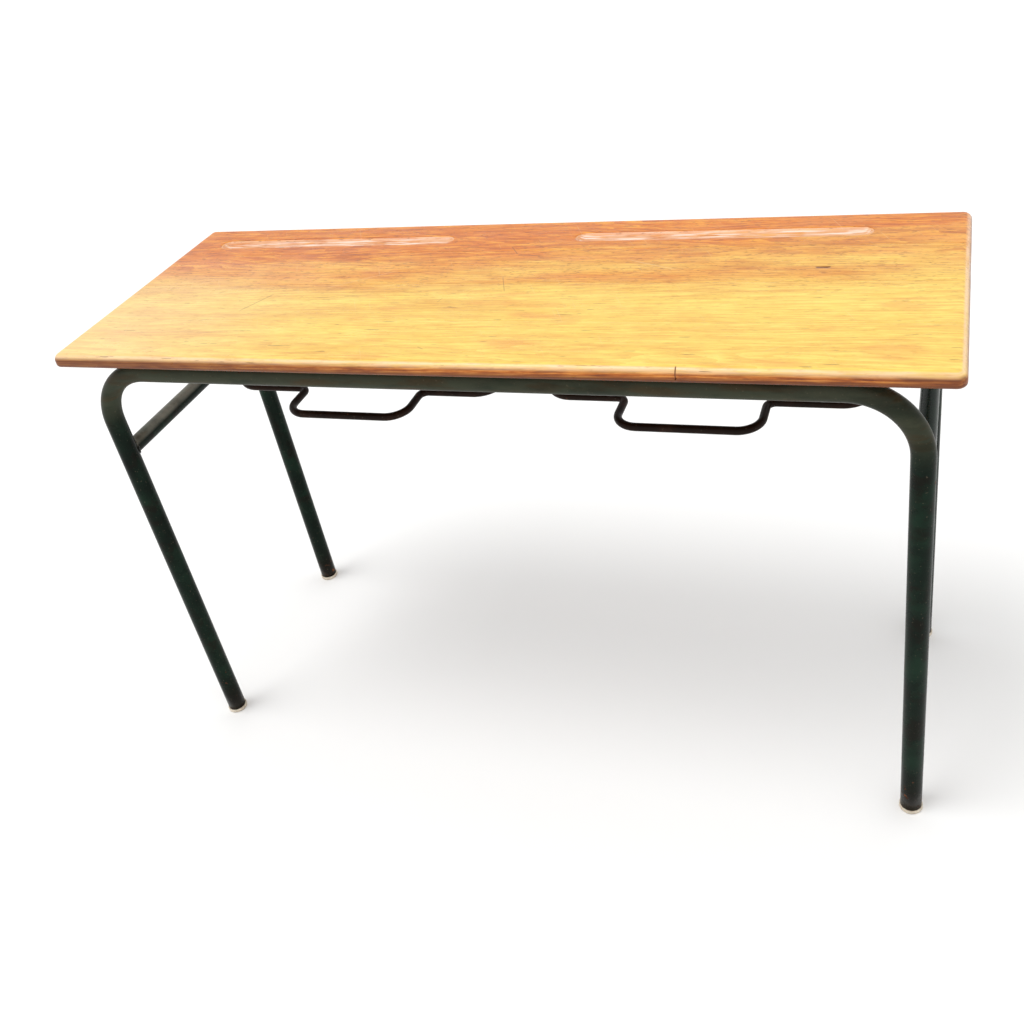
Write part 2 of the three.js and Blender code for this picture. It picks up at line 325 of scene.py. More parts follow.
def weld_blob(centre: Array, half_size: Numbers, seed: int) -> Surface:
    """A lump of weld metal: an ellipsoid whose radius swells by two sines of its angles.

    Args:
        centre: the lump's middle.
        half_size: its half size along X, Y and Z.
        seed: shifts the sines, so that no two neighbours look alike.

    Returns:
        The closed lump.
    """
    up = np.linspace(-math.pi / 2, math.pi / 2, 12)[:, None]
    turn = circle(18)[None, :]
    swell = 1.0 + 0.07 * np.sin(3 * turn + seed) * np.cos(up) + 0.05 * np.sin(5 * up + 2 * seed)
    ball = [np.cos(up) * np.cos(turn), np.cos(up) * np.sin(turn), np.sin(up) + 0.0 * turn]
    points = np.stack(ball, axis=-1) * swell[..., None] * np.array(half_size)
    return Surface(points + centre, wrap_columns=True)


def fillet_bead(line: Array, centre: Array, axis: int, toward: Array, size: float) -> Surface:
    """A rippled weld bead along a closed line round a tube.

    Round each point of the line the bead is size (cos b out + sin b toward), where out points
    away from the tube's axis; the size swells and shrinks by a tenth as a sine along the line.

    Args:
        line: the closed line's points.
        centre: a point on the tube's axis.
        axis: the tube's axis, 0 or 1.
        toward: unit vector to the other tube.
        size: the bead's radius.

    Returns:
        The bead, closed both ways.
    """
    out = line - centre
    out[:, axis] = 0.0
    out /= np.linalg.norm(out, axis=1)[:, None]
    along = circle(len(line))
    radius = size * (1.0 + 0.10 * np.sin(14.0 * along) + 0.05 * np.sin(5.0 * along))
    bend = circle(10)[None, :, None]
    section = np.cos(bend) * out[:, None, :] + np.sin(bend) * toward
    points = line[:, None, :] + radius[:, None, None] * section
    return Surface(points, wrap_rows=True, wrap_columns=True)


# --------------------------------------------------------------------------------------
# Finishes
# --------------------------------------------------------------------------------------


def linear(hex_colour: str) -> tuple[float, float, float, float]:
    """Turn an sRGB hex colour such as "#A0703C" into linear RGBA."""
    channels = [int(hex_colour[i:i + 2], 16) / 255.0 for i in (1, 3, 5)]
    light = [c / 12.92 if c <= 0.04045 else ((c + 0.055) / 1.055) ** 2.4 for c in channels]
    return (light[0], light[1], light[2], 1.0)


def add_node(tree: bpy.types.NodeTree, kind: str, inputs: Any, output: Any = 0,
             stops: Stops = (), **settings: Any) -> Any:
    """Add a node with its settings, values and links.

    Args:
        tree: the material's node tree.
        kind: the node's type name without its ShaderNode.
        inputs: values, hex colours and other nodes' outputs, in order or by name or number.
        output: the output to return, by name or number, or None for all of them.
        stops: positions and hex colours of a colour ramp, from low to high.
        settings: the node's own properties.

    Returns:
        The new node's output.
    """
    node = tree.nodes.new(f"ShaderNode{kind}")
    for key, value in settings.items():
        setattr(node, key, value)
    if stops:
        elements = node.color_ramp.elements
        for element, (position, colour) in zip((elements[0], elements[1]), (stops[0], stops[-1])):
            element.position, element.color = position, linear(colour)
        for position, colour in stops[1:-1]:
            elements.new(position).color = linear(colour)
    for key, value in inputs.items() if isinstance(inputs, dict) else enumerate(inputs):
        if isinstance(value, Socket):
            tree.links.new(value, node.inputs[key])
        else:
            node.inputs[key].default_value = linear(value) if isinstance(value, str) else value
    return node.outputs if output is None else node.outputs[output]


def new_material(name: str) -> tuple[Material, Add, Socket]:
    """An empty node material, the call that adds a node to it, and its object-space position."""
    material = bpy.data.materials.new(name)
    material.use_nodes = True
    material.node_tree.nodes.clear()
    add = partial(add_node, material.node_tree)
    return material, add, add("TexCoord", (), "Object")


def finish_material(add: Add, inputs: dict[str, Any]) -> None:
    """Close a material with one principled shader on its output."""
    add("OutputMaterial", {"Surface": add("BsdfPrincipled", inputs)}, None)


def lay(add: Add, colour: Any, *layers: Sequence[Any]) -> Socket:
    """Lay tints over a colour one after another, each by the product of its shares.

    Args:
        add: adds a node to the material.
        colour: the colour below.
        layers: each a tint followed by its shares.

    Returns:
        The colour on top.
    """
    for tint, share, *more in layers:
        for factor in more:
            share = add("Math", (share, factor), operation="MULTIPLY")
        colour = add("Mix", {0: share, 6: colour, 7: tint}, 2, data_type="RGBA")
    return colour


@dataclass(frozen=True)
class Pattern:
    """A noise pattern, and how it turns into a share.

    Args:
        size: blotch size along X, Y and Z, in metres.
        detail: octaves of finer noise.
        roughness: strength of each finer octave.
        shift: slide of the pattern along each axis, in metres.
        turn: rotation of the pattern about Z, in degrees.
        levels: the noise values that turn into the two shares.
        shares: the share at each of those levels.
    """

    size: Numbers
    detail: float = 3.0
    roughness: float = 0.5
    shift: Numbers = (0.0, 0.0, 0.0)
    turn: float = 0.0
    levels: tuple[float, float] = (0.3, 0.7)
    shares: tuple[float, float] = (0.0, 1.0)

    def read(self, add: Add, place: Socket, slide: Numbers = (0.0, 0.0, 0.0)) -> Socket:
        """The noise at a position slid by some more metres, about 0.5 on average."""
        location = [own + more for own, more in zip(self.shift, slide)]
        turn = (0.0, 0.0, math.radians(self.turn))
        moved = add("Mapping", {"Vector": place, "Location": location, "Rotation": turn})
        scaled = add("Mapping", {"Vector": moved, "Scale": [1.0 / s for s in self.size]})
        texture = {"Scale": 1.0, "Detail": self.detail, "Roughness": self.roughness}
        return add("TexNoise", {"Vector": scaled, **texture})

    def share(self, add: Add, place: Socket, slide: Numbers = (0.0, 0.0, 0.0)) -> Socket:
        """The noise carried smoothly from its two levels to its two shares."""
        noise = self.read(add, place, slide)
        return add("MapRange", (noise, *self.levels, *self.shares), **SMOOTH)


@dataclass(frozen=True)
class Scar:
    """A straight mark left in the varnish by use.

    Args:
        centre: where its middle lies on the top, X and Y.
        length: its length.
        width: its width.
        turn: the way it runs, in degrees from +X.
        strength: how far it darkens (positive) or lightens (negative) the wood.
        fade: where its length and its width begin and stop to fade, as shares of each.
    """

    centre: tuple[float, float]
    length: float
    width: float
    turn: float
    strength: float
    fade: ClassVar = ((0.35, 0.5), (0.1, 0.6))

    def mask(self, add: Add, place: Socket) -> Socket:
        """1 inside the mark, fading out over its edges: the product of two soft steps."""
        pose = {"Location": (*self.centre, 0.0), "Rotation": (0.0, 0.0, math.radians(self.turn))}
        moved = add("Mapping", {"Vector": place, **pose}, vector_type="TEXTURE")
        steps = []
        for part, size, (begin, stop) in zip(
                add("SeparateXYZ", (moved,), None), (self.length, self.width), self.fade):
            away = add("Math", (part,), operation="ABSOLUTE")
            steps.append(add("MapRange", (away, begin * size, stop * size, 1.0, 0.0), **SMOOTH))
        return add("Math", steps, operation="MULTIPLY")


@dataclass(frozen=True)
class BoardGrain:
    """How one board lay in its log.

    Args:
        along: how far along the log it was cut.
        pith_aside: how far the log's heart lies to the side of the board's seam line.
        pith_below: how far the heart lies under the top.
        tilt: angle between the board and the heart, in degrees.
        tone: share of the darker heartwood tone.
    """

    along: float
    pith_aside: float
    pith_below: float
    tilt: float
    tone: float


@dataclass(frozen=True)
class VarnishedOak:
    """Solid oak, flat-sawn, planed and brushed with several coats of gloss spirit varnish.

    Oak shows growth rings about 3 mm apart, long fine fibre streaks, and short open pores that
    hold dirt. The old varnish has gone yellow where sleeves polish it and orange where they
    don't, and it lies thin and pinkish on the eased edges and in the pen grooves, where its pale
    colour also carries a painted highlight. The left end of the face has a painted pale sheen,
    and the lowest part of the walls a painted shade. Real pores are 0.3 mm wide, real fibres
    and hair scratches finer still: all are drawn several times as wide, since they'd be too
    fine to show.

    Args:
        top_z: height of the top's face.
        front_y: its front edge.
        back_y: its back edge.
        half_length: half its length.
        groove_y: centre line of the pen grooves.
        groove_half_width: half a groove's width.
        scars: the marks of use.
        ring_spacing: distance between two growth rings.
        sway: how far the grain wanders to the side.
        ior: the varnish's refractive index, low because wear has dulled its gloss.
    """

    top_z: float
    front_y: float
    back_y: float
    half_length: float
    groove_y: float
    groove_half_width: float
    scars: tuple[Scar, ...] = ()
    ring_spacing: float = 3.4 * MM
    sway: float = 34 * MM
    ior: float = 1.38

    # The grain: slow wandering, fine fibre, broad streaks and soft clouds along the board.
    wander: ClassVar = Pattern((0.5, 0.06, 0.06))
    fibre: ClassVar = Pattern((38 * MM, 2.8 * MM, 2.8 * MM), 4.0, 0.62)
    streaks: ClassVar = Pattern((0.42, 13 * MM, 13 * MM), 4.0, 0.62, shift=(0.0, 0.3, 0.0))
    clouds: ClassVar = Pattern((48 * MM, 18 * MM, 18 * MM), 3.0, 0.6, shift=(0.0, 0.6, 0.0))
    pores: ClassVar = Pattern((11 * MM, 2.5 * MM, 2.5 * MM), 2.0, levels=(0.58, 0.67))
    flecks: ClassVar = Pattern((34 * MM, 3.0 * MM, 3.0 * MM), 2.0, levels=(0.69, 0.74))

    # The varnish: where it has darkened, blushed, gone matt, worn thin or been scratched, and where
    # a painted highlight lies on the arris and in the grooves.
    patches: ClassVar = Pattern((0.40, 0.07, 0.07), 4.0, 0.6)
    blush: ClassVar = Pattern((0.16, 0.045, 0.045), 4.0, 0.6, shift=(0.7, 0.4, 0.0),
                              levels=(0.54, 0.70), shares=(0.0, 0.4))
    sheen: ClassVar = Pattern((0.10, 0.03, 0.03), 4.0, 0.6, shares=(0.26, 0.42))
    # Patches of the arris's worn paleness, which also carries a painted highlight.
    worn_arris_and_highlight: ClassVar = Pattern((50 * MM, 50 * MM, 4 * MM), 3.0, 0.6,
                                   levels=(0.38, 0.60), shares=(0.45, 1.0))
    # The two groove patterns below: thin worn varnish brightened by a painted highlight, and
    # streaks of painted highlight.
    worn_groove_and_highlight: ClassVar = Pattern((30 * MM, 3.5 * MM, 3.5 * MM),
                                    levels=(0.40, 0.58), shares=(0.3, 0.85))
    groove_highlight_streaks: ClassVar = Pattern((60 * MM, 3.0 * MM, 3.0 * MM), shift=(0.3, 0.2, 0.1),
                                      levels=(0.50, 0.64), shares=(0.0, 0.75))
    hairs: ClassVar = (
        Pattern((0.09, 1.4 * MM, 0.4), 1.0, 0.3, turn=62.0, levels=(0.74, 0.80)),
        Pattern((0.07, 1.4 * MM, 0.4), 1.0, 0.3, turn=-35.0, levels=(0.75, 0.81)),
    )

    # Where along the top an effect begins and is full, in half lengths, and its share there.
    yellow_right: ClassVar = (0.4, 1.0, -0.32)
    orange_left: ClassVar = (0.1, -0.6, 0.14)
    # A painted pale sheen, a reflection of the light, at the left end of the face.
    painted_sheen_left: ClassVar = (-0.25, -0.95, 0.30)
    hands_left: ClassVar = (0.1, -0.8, 0.75)
    hands_right: ClassVar = (0.8, 0.95, 0.55)

    # Colours of the grain from dark to light: polished face, neglected face, and side walls.
    polished: ClassVar = ((0.38, "#DFAB4C"), (0.50, "#E8C259"), (0.60, "#F1D469"))
    neglected: ClassVar = ((0.40, "#B25A14"), (0.50, "#D27418"), (0.60, "#E69A2E"))
    flank: ClassVar = ((0.40, "#6A2C0B"), (0.50, "#AC5C18"), (0.60, "#D88C3C"))

    # Tints laid over the grain.
    blushed: ClassVar = "#DF9048"
    # Painted reflection: the pale sheen at the left end.
    painted_sheen_tint: ClassVar = "#F1D8BC"
    # Pale arris tint: wood worn bare, brightened by a painted highlight.
    bare_arris_and_highlight: ClassVar = "#F0CBA4"
    # Brown of hand grime, also laid as a painted shade low on the walls.
    grime_and_shade_tone: ClassVar = "#56280B"
    pore_dirt: ClassVar = "#7E3F14"
    fleck_brown: ClassVar = "#5F3114"
    # Groove tints: thin worn varnish with a painted highlight, then the painted highlight's
    # streaks.
    thin_varnish_and_highlight: ClassVar = "#E0B08A"
    groove_highlight_tint: ClassVar = "#F6E6D8"
    dark_scar: ClassVar = "#66361A"
    pale_scar: ClassVar = "#F0D9B0"
    pale_hair: ClassVar = "#E9CF9C"

    # Depths under the face where an effect begins and ends, and its shares there.
    groove_wall: ClassVar = (1.0 * MM, 4.0 * MM)
    # Arris wear, which also carries a painted highlight.
    arris_wear_and_highlight: ClassVar = (0.3 * MM, 1.5 * MM, 0.0, 0.75)
    side_wall: ClassVar = (2.0 * MM, 9.0 * MM)
    # A painted shade on the lowest part of the walls.
    low_shade: ClassVar = (9.0 * MM, 16.0 * MM, 0.0, 0.8)
    hair_depth: ClassVar = (0.9 * MM, 5.5 * MM, 0.3, 0.0)

    # Parts that rings, fibre, streaks and clouds take in the figure, and the dirt in the pores
    # by the distance to the back.
    weights: ClassVar = (0.10, 0.40, 0.30, 0.20)
    dirt_to_back: ClassVar = (0.0, 0.6, 0.12, 0.48)

    def build(self, name: str, grain: BoardGrain) -> Material:
        """The finish of one board.

        Args:
            name: the material's name.
            grain: how the board lay in its log.

        Returns:
            The material.
        """
        material, add, place = new_material(name)
        x, y, z = add("SeparateXYZ", (place,), None)
        depth = add("Math", (self.top_z, z), operation="SUBTRACT")
        slide = (grain.along, 0.0, 0.0)
        bent = self._wandering(add, place, slide)
        fibre = self.fibre.read(add, bent, slide)
        figure = self._figure(add, bent, grain, fibre)
        to_back = add("MapRange", (y, self.front_y + 50 * MM, self.back_y - 40 * MM), **SMOOTH)
        to_back = add("Math", (to_back, 1.5), operation="POWER")
        groove = self._in_groove(add, x, y, depth)
        colour = self._face_colour(add, place, x, grain, figure, to_back)
        colour = self._edge_colour(add, place, x, depth, colour, figure, groove)
        colour, pores = self._pores(add, place, grain, to_back, colour)
        # Pale groove colour: thin worn varnish with a painted highlight, then streaks of painted
        # highlight.
        colour = lay(add, colour,
                     (self.thin_varnish_and_highlight, groove, self.worn_groove_and_highlight.share(add, place)),
                     (self.groove_highlight_tint, groove, self.groove_highlight_streaks.share(add, place)))
        colour, dents = self._scars(add, place, depth, colour)
        height = add("Math", (fibre, 0.5), operation="MULTIPLY")
        for sunk in (pores, dents):
            height = add("Math", (height, sunk), operation="SUBTRACT")
        finish_material(add, {
            "Base Color": colour,
            "Roughness": self.sheen.share(add, place),
            "IOR": self.ior,
            "Coat Weight": 0.10,
            "Coat Roughness": 0.12,
            "Normal": add("Bump", {"Height": height, "Strength": 0.22, "Distance": 0.25 * MM}),
        })
        return material

    def _wandering(self, add: Add, place: Socket, slide: Numbers) -> Socket:
        """The position pushed aside by a slow noise, so that no grain line runs dead straight."""
        wander = self.wander.read(add, place, slide)
        push = add("Math", (wander, 0.5), operation="SUBTRACT")
        push = add("Math", (push, self.sway), operation="MULTIPLY")
        return add("VectorMath", (place, add("CombineXYZ", (0.0, push, push))), operation="ADD")

    def _figure(self, add: Add, bent: Socket, grain: BoardGrain, fibre: Socket) -> Socket:
        """Rings, fibre, broad streaks and clouds added up to about 0 to 1.

        The rings are cylinders round the log's heart, cut by the board's plane, so they make
        long straight lines near its edges and slow arches over the heart. The wave texture
        repeats every 20 / 2 pi units at scale 1.
        """
        slide = (grain.along, 0.0, 0.0)
        heart = (grain.along, -grain.pith_aside, grain.pith_below - self.top_z)
        turn = (0.0, math.radians(grain.tilt), math.radians(0.5 * grain.tilt))
        log = add("Mapping", {"Vector": bent, "Location": heart, "Rotation": turn})
        scale = 2.0 * math.pi / 20.0 / self.ring_spacing
        rings = add("TexWave", {"Vector": log, "Scale": scale}, "Fac", wave_type="RINGS",
                    rings_direction="X", wave_profile="SAW")
        streaks, clouds = (p.read(add, bent, slide) for p in (self.streaks, self.clouds))
        figure: Any = 0.0
        for part, weight in zip((rings, fibre, streaks, clouds), self.weights):
            figure = add("Math", (part, weight, figure), operation="MULTIPLY_ADD")
        return figure

    def _in_groove(self, add: Add, x: Socket, y: Socket, depth: Socket) -> Socket:
        """1 in the pen grooves: below the face, near their line and short of the board's ends."""
        inside = add("MapRange", (depth, *self.groove_wall), **SMOOTH)
        aside = add("Math", (y, self.groove_y), operation="SUBTRACT")
        for part, begin, stop in (
                (aside, self.groove_half_width, 1.12 * self.groove_half_width),
                (x, self.half_length - 40 * MM, self.half_length - 30 * MM)):
            away = add("Math", (part,), operation="ABSOLUTE")
            step = add("MapRange", (away, begin, stop, 1.0, 0.0), **SMOOTH)
            inside = add("Math", (inside, step), operation="MULTIPLY")
        return inside

    def _along(self, add: Add, x: Socket, effect: tuple[float, float, float]) -> Socket:
        """The share that an effect has at X."""
        begin, full, share = effect
        ends = (begin * self.half_length, full * self.half_length)
        return add("MapRange", (x, *ends, 0.0, share), **SMOOTH)

    def _face_colour(self, add: Add, place: Socket, x: Socket, grain: BoardGrain,
                     figure: Socket, to_back: Socket) -> Socket:
        """Yellow where sleeves polish the varnish, orange towards the back and the left, and a
        painted pale sheen, a reflection of the light, at the left end, fading towards the back.
        """
        pale, deep = (add("ValToRGB", (figure,), stops=s) for s in (self.polished, self.neglected))
        # The last share is the painted pale sheen at the left end.
        right, left, painted_sheen = (self._along(add, x, effect) for effect in (
            self.yellow_right, self.orange_left, self.painted_sheen_left))
        patches = add("Math", (self.patches.read(add, place), 0.5), operation="SUBTRACT")
        share = add("Math", (patches, 1.5, to_back), operation="MULTIPLY_ADD")
        share = add("Math", (right, to_back, share), operation="MULTIPLY_ADD")
        for more in (left, 0.08 * grain.tone):
            share = add("Math", (share, more), operation="ADD")
        share = add("MapRange", (share, 0.05, 1.0), **SMOOTH)
        to_front = add("Math", (1.0, to_back), operation="SUBTRACT")
        return lay(add, pale, (deep, share), (self.blushed, self.blush.share(add, place)),
                   (self.painted_sheen_tint, painted_sheen, to_front))

    def _edge_colour(self, add: Add, place: Socket, x: Socket, depth: Socket, colour: Socket,
                     figure: Socket, groove: Socket) -> Socket:
        """Pale wood where the arris has worn through, brightened by a painted highlight, brown
        streaks under it, the dirt that hands left on the walls at the left end and at the right
        corner, and a painted shade low down on the walls.
        """
        beside = add("Math", (1.0, groove), operation="SUBTRACT")
        # Worn arris with a painted highlight.
        arris = add("MapRange", (depth, *self.arris_wear_and_highlight), **SMOOTH)
        lower = add("MapRange", (depth, *self.side_wall), **SMOOTH)
        # Painted shade: the lowest part of the walls darkened.
        under = add("MapRange", (depth, *self.low_shade), **SMOOTH)
        ends = [self._along(add, x, effect) for effect in (self.hands_left, self.hands_right)]
        hands = add("Math", (add("Math", ends, operation="MAXIMUM"), lower), operation="MULTIPLY")
        # Hand grime at the ends, and the painted shade low down.
        grime_and_shade = add("Math", (under, hands), operation="MAXIMUM")
        streaks = add("ValToRGB", (figure,), stops=self.flank)
        return lay(add, colour, (self.bare_arris_and_highlight, beside, arris, self.worn_arris_and_highlight.share(add, place)),
                   (streaks, lower, beside), (self.grime_and_shade_tone, grime_and_shade, beside))

    def _pores(self, add: Add, place: Socket, grain: BoardGrain, to_back: Socket,
               colour: Socket) -> tuple[Socket, Socket]:
        """Open pores full of dirt, thicker towards the back, and a few long dark flecks."""
        slide = (grain.along, grain.pith_aside, 0.0)
        pores, flecks = (p.share(add, place, slide) for p in (self.pores, self.flecks))
        dirt = add("MapRange", (to_back, *self.dirt_to_back), **SMOOTH)
        colour = lay(add, colour, (self.pore_dirt, pores, dirt), (self.fleck_brown, flecks, 0.6))
        return colour, add("Math", (pores, flecks), operation="MAXIMUM")

    def _scars(self, add: Add, place: Socket, depth: Socket,
               colour: Socket) -> tuple[Socket, Socket]:
        """Lay the marks of use over the colour, and add up how deep they are."""
        fine = add("Math", [hair.share(add, place) for hair in self.hairs], operation="MAXIMUM")
        on_top = add("MapRange", (depth, *self.hair_depth), **SMOOTH)
        fine = add("Math", (fine, on_top), operation="MULTIPLY")
        layers, dents = [], fine
        for scar in self.scars:
            mask = scar.mask(add, place)
            share = add("Math", (mask, abs(scar.strength)), operation="MULTIPLY")
            layers.append((self.dark_scar if scar.strength > 0 else self.pale_scar, share))
            dents = add("Math", (dents, share), operation="ADD")
        return lay(add, colour, *layers, (self.pale_hair, fine)), dents


@dataclass(frozen=True)
class Enamel:
    """Stove enamel sprayed on steel tube: a thick, even, semi-gloss paint film.

    Age gives it a cloudy tone, a bloom of dust high up, pin-head specks and small chips down to
    rusty steel, most of them near the floor, where brown staining and a painted shade also
    darken it.

    Args:
        name: the material's name.
        shades: the film's dark, middle and light tone.
        stain_and_shade_tone: the tone of its brown staining, and of the painted shade that darkens
            the legs
        towards the floor.
        bloom: the tone of its bloom of dust.
        brown_bloom: the tone of the bloom where rust has tinged it.
        bloom_from: height at which the bloom begins.
        bloom_rise: height over which the bloom grows to its full share.
        bloom_share: how much of it shows high up.
        chip: the tone of bare, rusty steel.
        chip_level: noise level above which the film has chipped off.
        roughness: the film's roughness where clean.
        cloud: size of the cloudy patches.
        ior: the film's refractive index, low because dust and wax dull it.
    """

    name: str = "green_stove_enamel"
    shades: tuple[str, str, str] = ("#08100B", "#0D1B13", "#14291D")
    # Tone of brown staining, also laid as a painted shade towards the floor.
    stain_and_shade_tone: str = "#140E08"
    bloom: str = "#3E4032"
    brown_bloom: str = "#45341F"
    bloom_from: float = 600 * MM
    bloom_rise: float = 70 * MM
    bloom_share: float = 0.85
    chip: str = "#4A2B1B"
    chip_level: float = 0.70
    roughness: float = 0.24
    cloud: float = 60 * MM
    ior: float = 1.17

    browning: ClassVar = Pattern((70 * MM, 30 * MM, 45 * MM), 5.0, 0.65, shift=(0.2, 0.5, 0.9),
                                 levels=(0.51, 0.64), shares=(0.0, 0.65))
    dust: ClassVar = Pattern((90 * MM, 40 * MM, 25 * MM), 4.0, 0.6,
                             levels=(0.30, 0.62), shares=(0.45, 1.0))
    rust_tinge: ClassVar = Pattern((130 * MM, 60 * MM, 20 * MM), 4.0, 0.6, shift=(0.6, 0.1, 0.3),
                                   levels=(0.50, 0.62), shares=(0.0, 0.6))
    specks: ClassVar = Pattern((2.6 * MM,) * 3, 1.0, 0.3, levels=(0.71, 0.77))
    flakes: ClassVar = Pattern((15 * MM,) * 3, 6.0, 0.62, shift=(0.37, 0.11, 0.23))
    rust: ClassVar = Pattern((5 * MM,) * 3, 3.0, 0.6)
    ripple: ClassVar = Pattern((3.5 * MM,) * 3, 2.0)
    speck: ClassVar = "#5E5546"
    deep_rust: ClassVar = "#21130C"
    pale_rust: ClassVar = "#7A4A2C"

    def build(self) -> Material:
        """The finish, patterned in object space."""
        material, add, place = new_material(self.name)
        _, _, z = add("SeparateXYZ", (place,), None)
        clouds = Pattern((self.cloud,) * 3, 5.0, 0.6).read(add, place)
        film = add("ValToRGB", (clouds,), stops=tuple(zip((0.32, 0.5, 0.68), self.shades)))
        # Brown staining and painted shade: the legs darken towards the floor, most below 18 mm,
        # fading out by 100 mm.
        foot = add("MapRange", (z, 18 * MM, 100 * MM, 0.85, 0.0), **SMOOTH)
        stain_and_shade_share = add("Math", (self.browning.share(add, place), foot), operation="MAXIMUM")
        # In the left stretcher's copy this layer is light grey along the top of the tube: a painted
        # highlight.
        rise = (self.bloom_from, self.bloom_from + self.bloom_rise)
        high = add("MapRange", (z, *rise, 0.0, self.bloom_share), **SMOOTH)
        bloom = add("Math", (high, self.dust.share(add, place)), operation="MULTIPLY")
        veil = lay(add, self.bloom, (self.brown_bloom, self.rust_tinge.share(add, place)))
        chips = self._chips(add, place, z)
        rusty = ((0.35, self.deep_rust), (0.5, self.chip), (0.7, self.pale_rust))
        rust = add("ValToRGB", (self.rust.read(add, place),), stops=rusty)
        colour = lay(add, film, (self.stain_and_shade_tone, stain_and_shade_share), (veil, bloom),
                     (self.speck, self.specks.share(add, place), 0.45), (rust, chips))
        ripple = add("Math", (self.ripple.read(add, place), 0.35), operation="MULTIPLY")
        height = add("Math", (ripple, chips), operation="SUBTRACT")
        gloss = (self.roughness - 0.05, self.roughness + 0.08)
        haze = add("MapRange", (clouds, 0.3, 0.7, *gloss), **SMOOTH)
        for matt, share in ((bloom, 0.18), (chips, 0.35)):
            haze = add("Math", (matt, share, haze), operation="MULTIPLY_ADD")
        finish_material(add, {
            "Base Color": colour,
            "Roughness": haze,
            "IOR": self.ior,
            "Normal": add("Bump", {"Height": height, "Strength": 0.35, "Distance": 0.15 * MM}),
        })
        return material

    def _chips(self, add: Add, place: Socket, z: Socket) -> Socket:
        """1 where the film has flaked off, which it does more near the floor."""
        low = add("MapRange", (z, 20 * MM, 140 * MM, 0.10, 0.0), **SMOOTH)
        flakes = add("Math", (self.flakes.read(add, place), low), operation="ADD")
        return add("MapRange", (flakes, self.chip_level, self.chip_level + 0.025), **SMOOTH)


@dataclass(frozen=True)
class ZincPlate:
    """Zinc-plated steel gone dull: a grey metal with a cloudy, slightly yellow film."""

    name: str = "dull_zinc_plate"
    film: ClassVar = Pattern((3 * MM,) * 3, 4.0, 0.6)
    tones: ClassVar = ((0.3, "#6E6A60"), (0.55, "#9B988C"), (0.75, "#B7B2A2"))

    def build(self) -> Material:
        """The finish, patterned in object space."""
        material, add, place = new_material(self.name)
        film = self.film.read(add, place)
        finish_material(add, {
            "Base Color": add("ValToRGB", (film,), stops=self.tones),
            "Metallic": 0.9,
            "Roughness": add("MapRange", (film, 0.3, 0.7, 0.32, 0.55), **SMOOTH),
        })
        return material


@dataclass(frozen=True)
class MouldedPolyamide:
    """Injection-moulded polyamide: a dense cream plastic, scuffed pink-grey where it slides."""

    name: str = "cream_polyamide"
    flow: ClassVar = Pattern((9 * MM,) * 3, 4.0, 0.6)
    scuffs: ClassVar = Pattern((4 * MM, 4 * MM, 1.2 * MM), 4.0, levels=(0.4, 0.62))
    tones: ClassVar = ((0.3, "#B8A894"), (0.5, "#D6C8B4"), (0.7, "#E4D9C8"))
    scuffed: ClassVar = "#7D6F66"

    def build(self) -> Material:
        """The finish, patterned in object space."""
        material, add, place = new_material(self.name)
        _, _, z = add("SeparateXYZ", (place,), None)
        flow = self.flow.read(add, place)
        low = add("MapRange", (z, 0.5 * MM, 2.5 * MM, 1.0, 0.25), **SMOOTH)
        scuff = add("Math", (low, self.scuffs.share(add, place)), operation="MULTIPLY")
        body = add("ValToRGB", (flow,), stops=self.tones)
        finish_material(add, {
            "Base Color": lay(add, body, (self.scuffed, scuff)),
            "Roughness": add("MapRange", (flow, 0.3, 0.7, 0.48, 0.62), **SMOOTH),
            "IOR": 1.53,
            "Subsurface Weight": 0.05,
            "Normal": add("Bump", {"Height": scuff, "Strength": 0.3, "Distance": 0.15 * MM}),
        })
        return material


# --------------------------------------------------------------------------------------
# The top
# --------------------------------------------------------------------------------------


